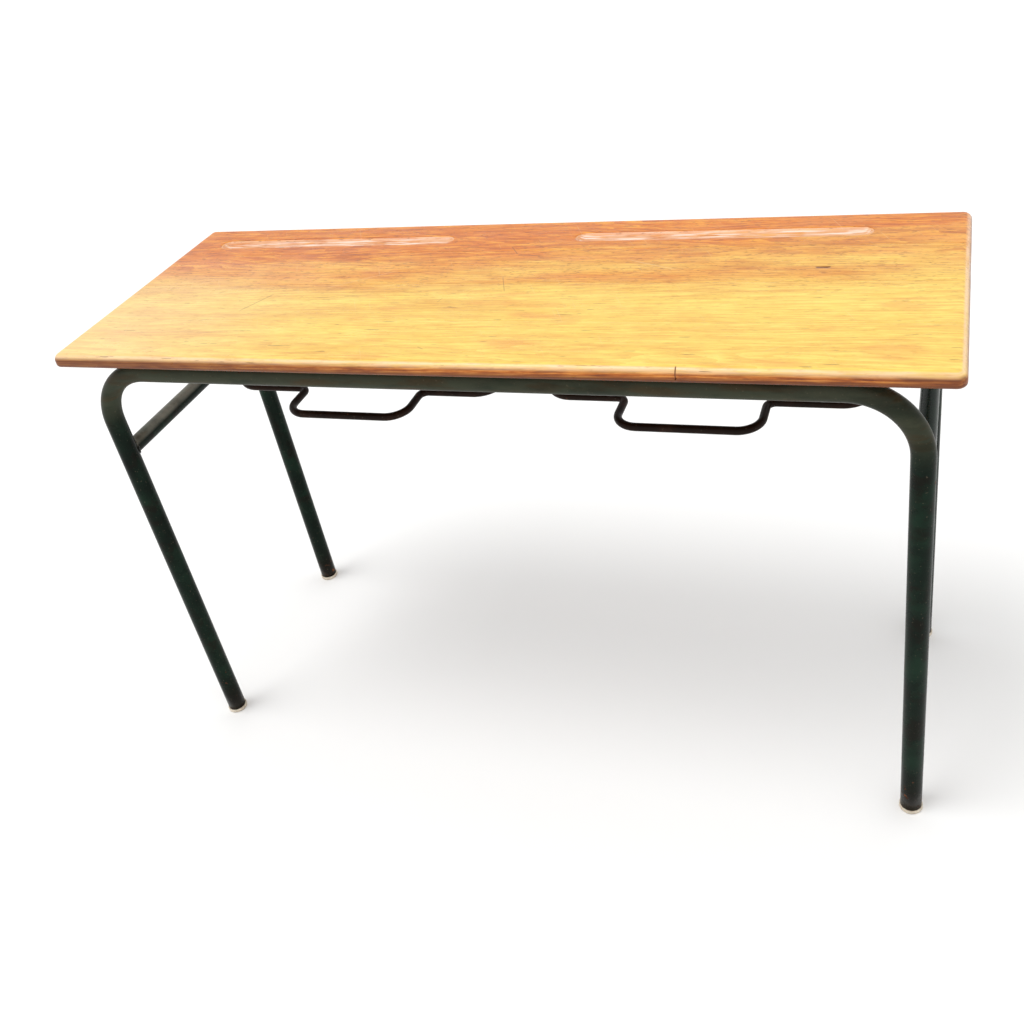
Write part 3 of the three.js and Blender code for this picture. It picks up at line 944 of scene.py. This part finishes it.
@dataclass
class OakTop:
    """Four edge-glued boards, planed as one and eased all round, with two routed pen grooves.

    Args:
        corner: radius of the corners in plan.
        top_ease: radius of the upper edge.
        bottom_ease: radius of the lower edge.
        groove_length: length of a pen groove.
        groove_width: its width at the surface.
        groove_depth: its depth.
        rim_wear: how far its rim is worn round.
        seam_ease: depth of the hairline where two boards meet.
        seam_reach: how far from the seam it begins.
        gouge: X, Y and size of the deepest dent in the top.
        gouge_depth: its depth.
        nick_depth: depth of the smaller dent at its end.
        check_x: where a drying check runs down the front edge.
        check_width: its half width.
        check_depths: how deep it goes into the upper face and into the front wall.
        check_reach: how far it runs in over the upper face.
    """

    corner: float = 12 * MM
    top_ease: float = 11 * MM
    bottom_ease: float = 5 * MM
    groove_length: float = 432 * MM
    groove_width: float = 30 * MM
    groove_depth: float = 6.8 * MM
    rim_wear: float = 0.5 * MM
    seam_ease: float = 0.12 * MM
    seam_reach: float = 0.6 * MM
    gouge: tuple[float, float, float] = (444 * MM, 46 * MM, 9 * MM)
    gouge_depth: float = 0.7 * MM
    nick_depth: float = 0.5 * MM
    check_x: float = 304 * MM
    check_width: float = 0.5 * MM
    check_depths: tuple[float, float] = (1.2 * MM, 2.0 * MM)
    check_reach: float = 6 * MM

    boards: ClassVar = ("board_front", "board_mid_front", "board_mid_rear", "board_rear")
    grains: ClassVar = (
        BoardGrain(0.0, -0.19, 0.075, 0.9, 0.0),
        BoardGrain(1.7, 0.02, 0.16, -0.7, 0.25),
        BoardGrain(3.1, 0.10, 0.11, 1.1, 0.55),
        BoardGrain(4.9, 0.12, 0.19, -0.9, 0.9),
    )
    scratches: ClassVar = (
        Scar((-14 * MM, 115 * MM), 36 * MM, 2.2 * MM, -56.0, 0.5),
        Scar((17 * MM, 97 * MM), 46 * MM, 3.6 * MM, -10.0, 0.5),
        Scar((8 * MM, 2 * MM), 55 * MM, 1.8 * MM, -68.0, 0.45),
        Scar((-370 * MM, -55 * MM), 68 * MM, 3.4 * MM, 62.0, 0.38),
        Scar((-430 * MM, -111 * MM), 16 * MM, 1.8 * MM, 20.0, 0.4),
        Scar((-43 * MM, -184 * MM), 14 * MM, 2.4 * MM, -30.0, 0.35),
        Scar((-71 * MM, -47 * MM), 15 * MM, 1.8 * MM, 75.0, 0.35),
        Scar((210 * MM, 60 * MM), 90 * MM, 1.6 * MM, -24.0, -0.35),
        Scar((-230 * MM, 20 * MM), 120 * MM, 1.6 * MM, 31.0, -0.3),
    )

    def __post_init__(self) -> None:
        """Read the slab's outline and the grooves' places from the frame."""
        front_low, front_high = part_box(self.boards[0])
        _, rear_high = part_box(self.boards[-1])
        self.half_length = front_high.x
        self.front_y, self.back_y = front_low.y, rear_high.y
        self.bottom_z, self.top_z = front_low.z, front_high.z
        openings = {o["name"]: o["box_m"] for o in frame["record"]["physics"]["openings"]}
        grooves = [np.array(openings[f"{side.name.lower()}_pen_groove"]) for side in Side]
        self.groove_centres = [float(groove[:, 0].mean()) for groove in grooves]
        self.groove_y = float(grooves[0][:, 1].mean())

    def build(self) -> None:
        """Make every board and its own finish."""
        gouge = Scar(self.gouge[:2], 22 * MM, 6 * MM, 4.0, 0.9)
        check = Scar((self.check_x, self.front_y), 18 * MM, 2.2 * MM, 90.0, 0.9)
        finish = VarnishedOak(
            self.top_z, self.front_y, self.back_y, self.half_length, self.groove_y,
            self.groove_width / 2, scars=(gouge, check, *self.scratches),
        )
        for number, (name, grain) in enumerate(zip(self.boards, self.grains), 1):
            material = finish.build(f"varnished_oak_{number}", grain)
            make_piece(f"{name}_oak", self._board(name), material, Crisp.CUT, (name,))

    def _lines(self, spots: Sequence[Array], digits: int, gap: float) -> Array:
        """Grid lines in order, leaving out any that come closer to the one before than a gap."""
        lines = np.unique(np.round(np.concatenate(spots), digits))
        return lines[np.append(True, np.diff(lines) > gap)]

    def _columns(self) -> Array:
        """X of the grid's lines: close together at the eased ends, groove ends and the check."""
        straight = self.half_length - self.corner
        ends = straight + self.corner * np.sin(np.radians(np.linspace(0.0, 90.0, 12)))
        spots = [ends, -ends, np.linspace(-straight, straight, 90)]
        for centre in self.groove_centres:
            for end in (-1, 1):
                tip = centre + end * (self.groove_length - self.groove_width) / 2
                spots.append(tip + np.linspace(-2 * MM, 16 * MM, 17) * end)
        spots.append(self.check_x + np.linspace(-3 * MM, 3 * MM, 25))
        spots.append(self.gouge[0] + np.linspace(-12 * MM, 12 * MM, 17))
        return self._lines(spots, 6, 0.05 * MM)

    def _rows(self, low: float, high: float, is_front: bool, is_rear: bool) -> Array:
        """Shares across a board, close together at eased edges, seams and the groove."""
        width = high - low
        eased = self.top_ease * (1.0 - np.sin(np.radians(np.linspace(90.0, 0.0, 9)))) / width
        seam = np.array([0.0, 0.25 * MM, 1.0 * MM]) / width
        spots = [np.linspace(0.0, 1.0, 22), eased if is_front else seam,
                 1.0 - (eased if is_rear else seam)]
        if is_rear:
            band = self.groove_y + np.linspace(-0.56, 0.56, 37) * self.groove_width
            spots.append((band - low) / width)
        if low < self.gouge[1] < high:
            spots.append((self.gouge[1] + np.linspace(-6 * MM, 6 * MM, 15) - low) / width)
        lines = self._lines(spots, 7, 0.04 * MM / width)
        lines[-1] = 1.0
        return lines

    def _outline_inset(self, x: Array) -> Array:
        """How far the plan outline has turned in at X: R - sqrt(R^2 - (x - start)^2)."""
        past = np.clip(np.abs(x) - (self.half_length - self.corner), 0.0, self.corner)
        return self.corner - np.sqrt(self.corner**2 - past**2)

    def _inside(self, x: Array, y: Array) -> Array:
        """Distance in from the rounded outline, whichever of its sides is nearest."""
        over_x = np.abs(x) - (self.half_length - self.corner)
        half_depth = (self.back_y - self.front_y) / 2
        over_y = np.abs(y - (self.front_y + self.back_y) / 2) - (half_depth - self.corner)
        round_corner = np.hypot(np.maximum(over_x, 0.0), np.maximum(over_y, 0.0))
        reach = np.where((over_x > 0) & (over_y > 0), round_corner, np.maximum(over_x, over_y))
        return np.clip(self.corner - reach, 0.0, None)

    def _ease(self, inside: Array, radius: float) -> Array:
        """Drop of an eased edge: R - sqrt(R^2 - (R - d)^2) at a distance d < R from the side."""
        short = np.clip(radius - inside, 0.0, radius)
        return radius - np.sqrt(radius**2 - short**2)

    def _groove(self, x: Array, y: Array) -> Array:
        """Depth of the pen grooves: a ball cutter of the cove's radius run along each centre.

        At a distance d from the run its depth is depth - R + sqrt(R^2 - d^2). Its rim is worn
        round by blending it with zero, and it fades out by 1.35 half widths from the run.
        """
        half = self.groove_width / 2
        ball = (half**2 + self.groove_depth**2) / (2 * self.groove_depth)
        run = self.groove_length / 2 - half
        depth = np.zeros(np.broadcast(x, y).shape)
        for centre in self.groove_centres:
            past = np.maximum(np.abs(x - centre) - run, 0.0)
            away = np.hypot(past, y - self.groove_y)
            raw = self.groove_depth - ball + np.sqrt(np.clip(ball**2 - away**2, 0.0, None))
            worn = 0.5 * (raw + np.sqrt(raw**2 + self.rim_wear**2))
            depth += worn * (away < ball) * np.clip((1.35 * half - away) / (0.25 * half), 0.0, 1.0)
        return depth

    def _dents(self, x: Array, y: Array, inside: Array) -> Array:
        """Depth of the gouge, a pair of lopsided bells, and of the check at the front edge."""
        gouge_x, gouge_y, size = self.gouge
        right, back = (x - gouge_x) / size, (y - gouge_y) / size
        bell = np.exp(-(right**2 + (back / 0.22) ** 2))
        nick = np.exp(-(((right - 0.5) / 0.4) ** 2 + ((back + 0.12) / 0.3) ** 2))
        check = np.exp(-((x - self.check_x) / self.check_width) ** 2)
        near_front = np.clip(1.5 - inside / self.check_reach, 0.0, 1.0)
        near_front = near_front * (y < self.front_y + self.corner)
        return (self.gouge_depth * bell + self.nick_depth * nick
                + self.check_depths[0] * check * near_front)

    def _board(self, name: str) -> list[Surface]:
        """One board as an upper face, a lower face and the four walls between them.

        The two faces are height fields over the board's plan, where a share v across runs from
        the board's near edge to its far edge and both edges follow the rounded outline.
        """
        low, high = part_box(name)
        is_front, is_rear = name == self.boards[0], name == self.boards[-1]
        line = self._columns()
        inset = self._outline_inset(line)
        near = low.y + inset * is_front
        far = high.y - inset * is_rear
        share = self._rows(low.y, high.y, is_front, is_rear)
        x = np.broadcast_to(line[:, None], (len(line), len(share)))
        y = near[:, None] + share * (far - near)[:, None]
        inside = self._inside(x, y)
        drop = self._ease(inside, self.top_ease) + self._groove(x, y) + self._dents(x, y, inside)
        for at_seam, edge in ((not is_front, near), (not is_rear, far)):
            away = np.abs(y - edge[:, None])
            drop += at_seam * self.seam_ease * np.clip(1.0 - away / self.seam_reach, 0.0, 1.0)
        upper = np.stack([x, y, self.top_z - drop], axis=-1)
        under = self.bottom_z + self._ease(inside, self.bottom_ease)
        lower = np.stack([x, y, under], axis=-1)
        walls = [self._wall(upper[:, 0], lower[:, 0], is_front),
                 self._wall(upper[:, -1], lower[:, -1]),
                 self._wall(upper[0], lower[0]), self._wall(upper[-1], lower[-1])]
        return [Surface(upper), Surface(lower, flip=True), *walls]

    def _wall(self, upper: Array, lower: Array, has_check: bool = False) -> Surface:
        """The wall between matching lines of the two faces, with the check sunk into the front.
        """
        share = np.linspace(0.0, 1.0, 8)[:, None, None]
        points = upper * (1.0 - share) + lower * share
        if has_check:
            wander = 0.6 * MM * np.sin(5.0 * share[..., 0])
            bell = np.exp(-((points[..., 0] - self.check_x - wander) / self.check_width) ** 2)
            fade = np.sin(math.pi * share[..., 0]) ** 0.5
            points[..., 1] += self.check_depths[1] * bell * fade
        return Surface(points)


# --------------------------------------------------------------------------------------
# The frame
# --------------------------------------------------------------------------------------


@dataclass
class TubeFrame:
    """Two bent hoops, two side stretchers and a cross tube, brazed together and enamelled.

    Args:
        enamel: the finish.
        highlit: the finish of the left stretcher, with a painted highlight along the top of its
            tube.
        tube: outer and inner radius of the hoops' tube.
        bend: radius of the hoops' bends, at the centre line.
        flatten: share by which a bend's section is flattened.
        lip: radius left on the sawn ends of the legs.
        stretcher: outer and inner radius of the stretchers.
        cope_gap: gap between a stretcher's coped end and the leg.
        bead: radius of a weld bead.
        sides: corners of each tube's section.
    """

    enamel: Material
    highlit: Material
    tube: tuple[float, float] = (15 * MM, 13.5 * MM)
    bend: float = 90 * MM
    flatten: float = 0.035
    lip: float = 0.35 * MM
    stretcher: tuple[float, float] = (12.5 * MM, 11 * MM)
    cope_gap: float = 0.1 * MM
    bead: float = 2.4 * MM
    sides: int = 56

    hoops: ClassVar = ("front_leg_hoop", "rear_leg_hoop")

    def build(self) -> None:
        """Make the hoops, the stretchers and the fillets that join them."""
        for name in self.hoops:
            self._hoop(name)
        # The left stretcher takes the enamel with a painted highlight along its top.
        for side, finish in ((Side.LEFT, self.highlit), (Side.RIGHT, self.enamel)):
            ends = [middle_of(hoop)[1] for hoop in self.hoops]
            self._stretcher(f"{side.name.lower()}_side_stretcher", 1, ends, finish)
        _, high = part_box(self.hoops[1])
        leg_x = high.x - self._cad_radius(self.hoops[1])
        self._stretcher("rear_cross_tube", 0, [-leg_x, leg_x], self.enamel)

    def _cad_radius(self, hoop: str) -> float:
        """Half the width across the flats of the frame's faceted tube."""
        low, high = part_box(hoop)
        return (high.y - low.y) / 2

    def _hoop(self, name: str) -> None:
        """One length of tube, open at its feet: outer wall up and over, inner wall back."""
        low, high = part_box(name)
        y, inset = middle_of(name)[1], self._cad_radius(name)
        x, crown = high.x - inset, high.z - inset
        corners = np.array([[-x, y, low.z], [-x, y, crown], [x, y, crown], [x, y, low.z]])
        path = BentPath(corners, (0.0, self.bend, self.bend, 0.0), bend_steps=22)
        outer, inner = (swept_rings(path, np.array([0.0, 1.0, 0.0]), radius, self.sides,
                                    self.flatten) for radius in self.tube)
        lips = []
        for end in (0, -1):
            middle = outer[end].mean(axis=0)
            lips.append(middle + (outer[end] - middle) * (1.0 - self.lip / self.tube[0]))
            outer[end] += self.lip * UP
        self._tube(name, [lips[:1], outer, lips[1:], inner[::-1]], self.enamel)

    def _tube(self, name: str, walls: Sequence[Any], finish: Material) -> None:
        """A tube from rings that run out along its outer wall and back along its bore."""
        surface = Surface(np.concatenate(walls), wrap_rows=True, wrap_columns=True)
        make_piece(f"{name}_tube", [surface], finish, Crisp.DRAWN, (name,))

    def _stretcher(self, name: str, axis: int, ends: Numbers, finish: Material) -> None:
        """A tube along X or Y, coped round two upright legs, with a fillet at each end.

        At an angle a its wall stands r cos a to the side of the leg's axis, so it meets a leg
        of radius R at sqrt(R^2 - (r cos a)^2) from that axis.

        Args:
            name: the CAD node it stands for.
            axis: 0 along X, 1 along Y.
            ends: the two legs' axes on that axis, low then high.
            finish: the finish.
        """
        angle = circle(self.sides)
        centre = middle_of(name)
        share = np.linspace(0.0, 1.0, 12)[:, None]
        walls = []
        for radius in self.stretcher:
            aside = radius * np.cos(angle)
            gap = np.sqrt((self.tube[0] + self.cope_gap) ** 2 - aside**2)
            wall = np.empty((len(share), self.sides, 3))
            wall[..., axis] = (ends[0] + gap) * (1.0 - share) + (ends[1] - gap) * share
            wall[..., 1 - axis] = centre[1 - axis] + aside
            wall[..., 2] = centre[2] + radius * np.sin(angle)
            walls.append(wall)
        self._tube(name, [walls[0], walls[1][::-1]], finish)
        for number, (row, sign) in enumerate(((0, -1.0), (-1, 1.0)), 1):
            bead = fillet_bead(walls[0][row], centre, axis, sign * np.eye(3)[axis], self.bead)
            make_piece(f"{name}_weld_{number}", [bead], finish, Crisp.WELDED)


# --------------------------------------------------------------------------------------
# The book racks
# --------------------------------------------------------------------------------------


@dataclass
class BookRack:
    """One sitter's rack: a bent rod with a tongue, and two thinner rods across it.

    Args:
        side: which sitter's.
        enamel: the finish.
        rod: radius of the bent rod.
        rod_edge: radius left on its sawn ends.
        cross_rod: radius of the rods across it.
        cross_edge: radius left on their ends.
        end_bend: radius of the two bends that turn the rod's ends back.
        root_bend: radius of the bends at the tongue's root.
        tip_bend: radius of the bends at the tongue's tip.
        tongue_centre: how far the tongue's middle is from the desk's.
        tongue_half_width: half the tongue's width.
        front_y: the rod's front runs.
        seat_weld: half size of the weld between the rod and the cross tube.
        cross_weld: half size of the weld at a cross rod's end.
    """

    side: Side
    enamel: Material
    rod: float = 6 * MM
    rod_edge: float = 0.8 * MM
    cross_rod: float = 4 * MM
    cross_edge: float = 0.2 * MM
    end_bend: float = 38 * MM
    root_bend: float = 13 * MM
    tip_bend: float = 33 * MM
    tongue_centre: float = 267.5 * MM
    tongue_half_width: float = 102.5 * MM
    front_y: float = 4 * MM
    seat_weld: tuple[float, float, float] = (7.5 * MM, 5.5 * MM, 2.2 * MM)
    cross_weld: tuple[float, float, float] = (3.0 * MM, 5.6 * MM, 5.2 * MM)

    def build(self) -> None:
        """Make the rack's rods and the beads that fix them."""
        label = f"{self.side.name.lower()}_rack"
        name = f"{label}_rod"
        low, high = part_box(name)
        near, far = sorted((abs(low.x), abs(high.x)))
        inner, outer = near + self.rod, far - self.rod
        z = middle_of(name)[2]
        tip_y = low.y + self.rod
        arm_in = self.tongue_centre - self.tongue_half_width
        arm_out = self.tongue_centre + self.tongue_half_width
        flat = ((inner, high.y), (inner, self.front_y), (arm_in, self.front_y), (arm_in, tip_y),
                (arm_out, tip_y), (arm_out, self.front_y), (outer, self.front_y), (outer, high.y))
        corners = np.array([(self.side.value * x, y, z) for x, y in flat])
        bends = (0.0, self.end_bend, self.root_bend, self.tip_bend)
        path = BentPath(corners, (*bends, *reversed(bends)), bend_steps=14)
        self._piece(f"{name}_bar", rounded_bar(path, UP, self.rod, 28, self.rod_edge),
                    Crisp.DRAWN, (name,))
        for number in (1, 2):
            self._cross(f"{label}_cross_rod_{number}", (inner, outer))
        cross_tube_y = middle_of("rear_cross_tube")[1]
        for number, x in enumerate((inner, outer)):
            spot = np.array([self.side.value * x, cross_tube_y, z - self.rod])
            blob = weld_blob(spot, self.seat_weld, 5 + number)
            self._piece(f"{label}_seat_weld_{number + 1}", blob, Crisp.WELDED)

    def _piece(self, name: str, surface: Surface, crisp: Crisp, node: Sequence[str] = ()) -> None:
        """One enamelled piece of the rack."""
        make_piece(name, [surface], self.enamel, crisp, node)

    def _cross(self, name: str, between: tuple[float, float]) -> None:
        """A straight rod from one side run to the other, with a blob of weld at each end."""
        low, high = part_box(name)
        _, y, z = middle_of(name)
        path = BentPath(np.array([[low.x, y, z], [high.x, y, z]]), (0.0, 0.0))
        self._piece(f"{name}_bar", rounded_bar(path, UP, self.cross_rod, 20, self.cross_edge),
                    Crisp.DRAWN, (name,))
        reach = self.rod - 0.5 * MM
        for number, x in enumerate((between[0] + reach, between[1] - reach)):
            blob = weld_blob(np.array([self.side.value * x, y, z]), self.cross_weld, 11 + number)
            self._piece(f"{name}_weld_{number + 1}", blob, Crisp.WELDED)


# --------------------------------------------------------------------------------------
# Fixings and feet
# --------------------------------------------------------------------------------------


@dataclass
class TopFixings:
    """Steel tabs brazed on the rails, and the slotted pan-head screws that hold the top.

    Args:
        enamel: the tabs' finish.
        zinc: the screws' finish.
        corner: radius of a tab's corners in plan.
        ease: radius left on its edges by the paint film.
        hole: radius of its screw hole.
        bead: half size of a weld at its side.
        screw_to_rail: distance from a screw to the rail's axis.
        head: radius of a screw's head.
        head_height: height of the head.
        shank: radius of the shank.
        thread: depth of the thread.
        pitch: pitch of the thread.
        point: length of the point.
        slot_width: width of the driver slot.
        slot_depth: its depth.
        slot_ease: width over which the slot's walls slope.
    """

    enamel: Material
    zinc: Material
    corner: float = 8 * MM
    ease: float = 0.6 * MM
    hole: float = 2.8 * MM
    bead: tuple[float, float, float] = (2.6 * MM, 6.5 * MM, 1.9 * MM)
    screw_to_rail: float = 22 * MM
    head: float = 4.6 * MM
    head_height: float = 2.6 * MM
    shank: float = 1.8 * MM
    thread: float = 0.4 * MM
    pitch: float = 1.8 * MM
    point: float = 4 * MM
    slot_width: float = 1.1 * MM
    slot_depth: float = 1.2 * MM
    slot_ease: float = 0.15 * MM

    def build(self) -> None:
        """Make the six tabs, their beads and the six screws."""
        for rail, inward in (("front", 1.0), ("rear", -1.0)):
            for number in (1, 2, 3):
                screw = f"{rail}_top_screw_{number}"
                low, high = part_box(screw)
                spot = np.array([*middle_of(screw)[:2], low.z])
                self._tab(f"{rail}_fixing_tab_{number}", spot, inward)
                self._screw(screw, spot, high.z - low.z, 37.0 * number + 20.0)

    def _tab(self, name: str, screw: Array, inward: float) -> None:
        """A flat plate with a hole: rings that run from the hole's wall to the outer wall.

        Each ring blends from the hole's circle to the rounded rectangle by a share, and the
        rings climb the walls and ease their edges by a quarter circle.
        """
        low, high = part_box(name)
        centre = middle_of(name)[:2]
        half = np.array(high - low)[:2] / 2
        angle = circle(72)
        around = np.stack([np.cos(angle), np.sin(angle)], axis=-1)
        outline = self._rounded(around, half - self.ease, self.corner - self.ease) + centre
        hole = screw[:2] + self.hole * around
        outward = outline - centre
        outward /= np.linalg.norm(outward, axis=1)[:, None]
        upper, lower = [], []
        for share in (0.0, 0.5, 1.0):
            ring = hole + share * (outline - hole)
            upper.append(self._level(ring, high.z))
            lower.append(self._level(ring, low.z))
        for turn in np.radians([30.0, 60.0, 90.0]):
            ring = outline + outward * self.ease * math.sin(turn)
            drop = self.ease * (1 - math.cos(turn))
            upper.append(self._level(ring, high.z - drop))
            lower.append(self._level(ring, low.z + drop))
        plate = Surface(np.stack(upper + lower[::-1]), wrap_rows=True, wrap_columns=True)
        make_piece(f"{name}_plate", [plate], self.enamel, Crisp.PRESSED, (name,))
        rail_y = screw[1] - inward * self.screw_to_rail
        for side in Side:
            spot = np.array([centre[0] + side.value * half[0], rail_y, low.z - 0.3 * MM])
            blob = weld_blob(spot, self.bead, 3 + side.value)
            make_piece(f"{name}_{side.name.lower()}_weld", [blob], self.enamel,
                       Crisp.WELDED)

    def _level(self, ring: Array, z: float) -> Array:
        """A flat ring set at a height."""
        return np.column_stack([ring, np.full(len(ring), z)])

    def _rounded(self, around: Array, half: Array, corner: float) -> Array:
        """A rounded rectangle as a function of direction: a small circle swept to the corners.

        The circle's centre is the corner centre of the quadrant, reached smoothly on the sides.
        """
        return np.clip(around * 1.9, -1.0, 1.0) * (half - corner) + corner * around

    def _screw(self, name: str, spot: Array, length: float, turn: float) -> None:
        """A pan head with a driver slot, and a threaded, pointed shank above it.

        The head and the shank are turned; the thread is a sine of height minus angle, and the
        slot lifts the head's face by its depth inside a straight band across it.
        """
        angle = circle(48)
        face = [(share * self.head, 0.25 * self.head_height * share**3)
                for share in (0.0, 0.06, 0.12, 0.13, 0.3, 0.5, 0.7, 0.85, 0.95)]
        flank = [(self.head, 0.6 * self.head_height), (self.head, self.head_height),
                 (self.shank + self.thread, self.head_height)]
        shank = [(self.shank, z) for z in np.linspace(self.head_height, length - self.point, 60)]
        rows = np.array([*face, *flank, *shank, (0.0, length)])
        radius, height = (column[:, None] + 0.0 * angle for column in rows.T)
        threaded = slice(len(face) + len(flank), -1)
        wave = np.sin(2 * math.pi * height[threaded] / self.pitch - angle)
        radius[threaded] += self.thread * np.clip(wave, 0.0, 1.0)
        across = np.abs(radius * np.sin(angle - math.radians(turn)))
        in_slot = 1.0 - np.clip((across - 0.5 * self.slot_width) / self.slot_ease, 0.0, 1.0)
        in_slot[len(face):] = 0.0
        height += in_slot * np.clip(self.slot_depth - height, 0.0, None)
        points = np.stack([radius * np.cos(angle), radius * np.sin(angle), height], axis=-1)
        screw = Surface(points + spot, wrap_columns=True)
        make_piece(f"{name}_steel", [screw], self.zinc, Crisp.CUT, (name,))


@dataclass
class Glides:
    """Four moulded glides: a cap below the tube with a moulding line, and a finned stem in it.

    Args:
        plastic: the finish.
        cap: radius of the cap.
        foot: radius of a ring inside its underside, which keeps the shading flat there.
        cap_height: height of the cap.
        lower_roll: radius of the cap's lower edge.
        upper_roll: radius of its upper edge.
        line: depth of the moulding line.
        stem: radius of the stem.
        rib: depth of its ribs.
        sides: corners round the cap.
    """

    plastic: Material
    cap: float = 16.5 * MM
    foot: float = 12.5 * MM
    cap_height: float = 6 * MM
    lower_roll: float = 2.0 * MM
    upper_roll: float = 1.0 * MM
    line: float = 0.35 * MM
    stem: float = 13.1 * MM
    rib: float = 0.35 * MM
    sides: int = 64

    def build(self) -> None:
        """Make the four glides."""
        for end in ("front", "rear"):
            for side in Side:
                name = f"{end}_{side.name.lower()}_glide"
                low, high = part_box(name)
                centre = np.array([*middle_of(name)[:2], low.z])
                surface = revolve(self._profile(high.z - low.z), centre, self.sides)
                make_piece(f"{name}_foot", [surface], self.plastic, Crisp.PRESSED,
                           (name,))

    def _profile(self, height: float) -> list[tuple[float, float]]:
        """Underside, rolled lower edge, moulding line, rolled upper edge, then ribbed stem."""
        lower, upper, rim = self.lower_roll, self.upper_roll, self.cap_height
        middle = 0.55 * rim
        ribs = np.linspace(rim + 2 * MM, height - 2 * MM, 25)
        return [
            (0.0, 0.0), (self.foot, 0.0),
            *arc(-90, 0, 7, lower, (self.cap - lower, lower)),
            (self.cap, middle - 0.4 * MM), (self.cap - self.line, middle),
            (self.cap, middle + 0.4 * MM),
            *arc(0, 90, 5, upper, (self.cap - upper, rim - upper)),
            (self.stem, rim),
            *((self.stem - self.rib * (1 + math.cos(2 * math.pi * k / 6)), z)
              for k, z in enumerate(ribs)),
            (self.stem - 1.2 * MM, height), (0.0, height),
        ]


# --------------------------------------------------------------------------------------
# The studio
# --------------------------------------------------------------------------------------


@dataclass
class Studio:
    """A pale floor, an even white surround, one very wide soft light and the camera.

    Args:
        light_toward: the direction in which the light hangs, seen from the desk.
        light_spread: the angle it fills, in degrees.
        light_strength: the light it sends to a surface that faces it.
        floor_reach: length and width of the floor.
        camera_place: where the camera stands.
        yaw: its turn to the left of +Y, in degrees.
        pitch: its tilt, in degrees.
        roll: its turn about the line of sight, in degrees.
        lens: focal length in millimetres, on a 36 mm sensor.
        shift: how far the picture is shifted, as shares of its width.
    """

    light_toward: tuple[float, float, float] = (-0.32, -0.18, 0.93)
    light_spread: float = 26.0
    light_strength: float = 1.0
    floor_reach: float = 40.0
    camera_place: tuple[float, float, float] = (0.6051, -1.3292, 1.3966)
    yaw: float = 24.368
    pitch: float = -32.841
    roll: float = 10.950
    lens: float = 39.189
    shift: tuple[float, float] = (-0.0202, -0.0563)

    def build(self) -> None:
        """Set up the floor, the surround, the light and the camera."""
        self._floor()
        self._surround()
        self._light()
        self._camera()

    def _floor(self) -> None:
        """A matt sheet whose far fifth curves up out of sight: z = 30 m (share - 0.8)^2."""
        share = np.linspace(0.0, 1.0, 41)
        span = (share - 0.5) * self.floor_reach
        y, x = np.meshgrid(span, span, indexing="ij")
        rise = 30.0 * np.clip(share - 0.8, 0.0, None) ** 2
        points = np.stack([x, y, rise[:, None] + 0.0 * x], axis=-1)
        mesh = new_mesh("studio_floor", [Surface(points)])
        mesh.shade_smooth()
        material, add, _ = new_material("matt_white_sheet")
        finish_material(add, {"Base Color": "#F4F4F3", "Roughness": 0.9})
        mesh.materials.append(material)
        show("studio_floor", mesh)

    def _surround(self) -> None:
        """An even white sky."""
        world = bpy.data.worlds.new("white_surround")
        bpy.context.scene.world = world
        world.use_nodes = True
        world.node_tree.nodes.clear()
        add = partial(add_node, world.node_tree)
        sky = add("Background", {"Color": "#FFFFFF", "Strength": 1.0})
        add("OutputWorld", {"Surface": sky}, None)
        bpy.context.scene.view_settings.view_transform = "Standard"

    def _light(self) -> None:
        """Hang the light so far off that it falls evenly on the whole floor."""
        lamp = bpy.data.lights.new("key_light", "SUN")
        lamp.angle = math.radians(self.light_spread)
        lamp.energy = self.light_strength
        aim = Vector(self.light_toward).to_track_quat("Z", "Y")
        show("key_light", lamp).matrix_world = aim.to_matrix().to_4x4()

    def _camera(self) -> None:
        """Place the camera: yaw, then pitch, then roll, of one that starts level along +Y."""
        lens = bpy.data.cameras.new("camera")
        lens.sensor_width, lens.lens = 36.0, self.lens
        lens.shift_x, lens.shift_y = self.shift
        lens.clip_start, lens.clip_end = 0.05, 100.0
        pose = Matrix.Translation(self.camera_place)
        for degrees, axis in ((self.yaw, "Z"), (self.pitch, "X"), (self.roll, "Y"), (90.0, "X")):
            pose = pose @ Matrix.Rotation(math.radians(degrees), 4, axis)
        camera = show("camera", lens)
        camera.matrix_world = pose
        bpy.context.scene.camera = camera


def main() -> None:
    """Build the studio and the desk, in the order a joiner would put it together."""
    logging.basicConfig(level=logging.INFO, format="%(name)s: %(message)s")
    Studio().build()
    clean = Enamel()
    # A copy whose light grey bloom along the top of the tube is a painted highlight.
    painted_highlight_enamel = replace(
        clean, name="green_stove_enamel_under_dust", bloom="#8F9085", brown_bloom="#7A7364",
        bloom_from=565.5 * MM, bloom_rise=7 * MM, bloom_share=0.8,
    )
    brown_enamel = replace(
        clean, name="brown_stove_enamel", shades=("#120804", "#1D100A", "#2E1C14"),
        bloom="#2A1C14", brown_bloom="#2E1A10", bloom_from=500 * MM, bloom_share=0.25,
        chip="#5A3420", chip_level=0.67, roughness=0.34, cloud=30 * MM,
    )
    green, highlit_green, brown = clean.build(), painted_highlight_enamel.build(), brown_enamel.build()
    zinc, plastic = ZincPlate().build(), MouldedPolyamide().build()
    TubeFrame(green, highlit_green).build()
    for side in Side:
        BookRack(side, brown).build()
    TopFixings(green, zinc).build()
    OakTop().build()
    Glides(plastic).build()


if __name__ == "__main__":
    main()
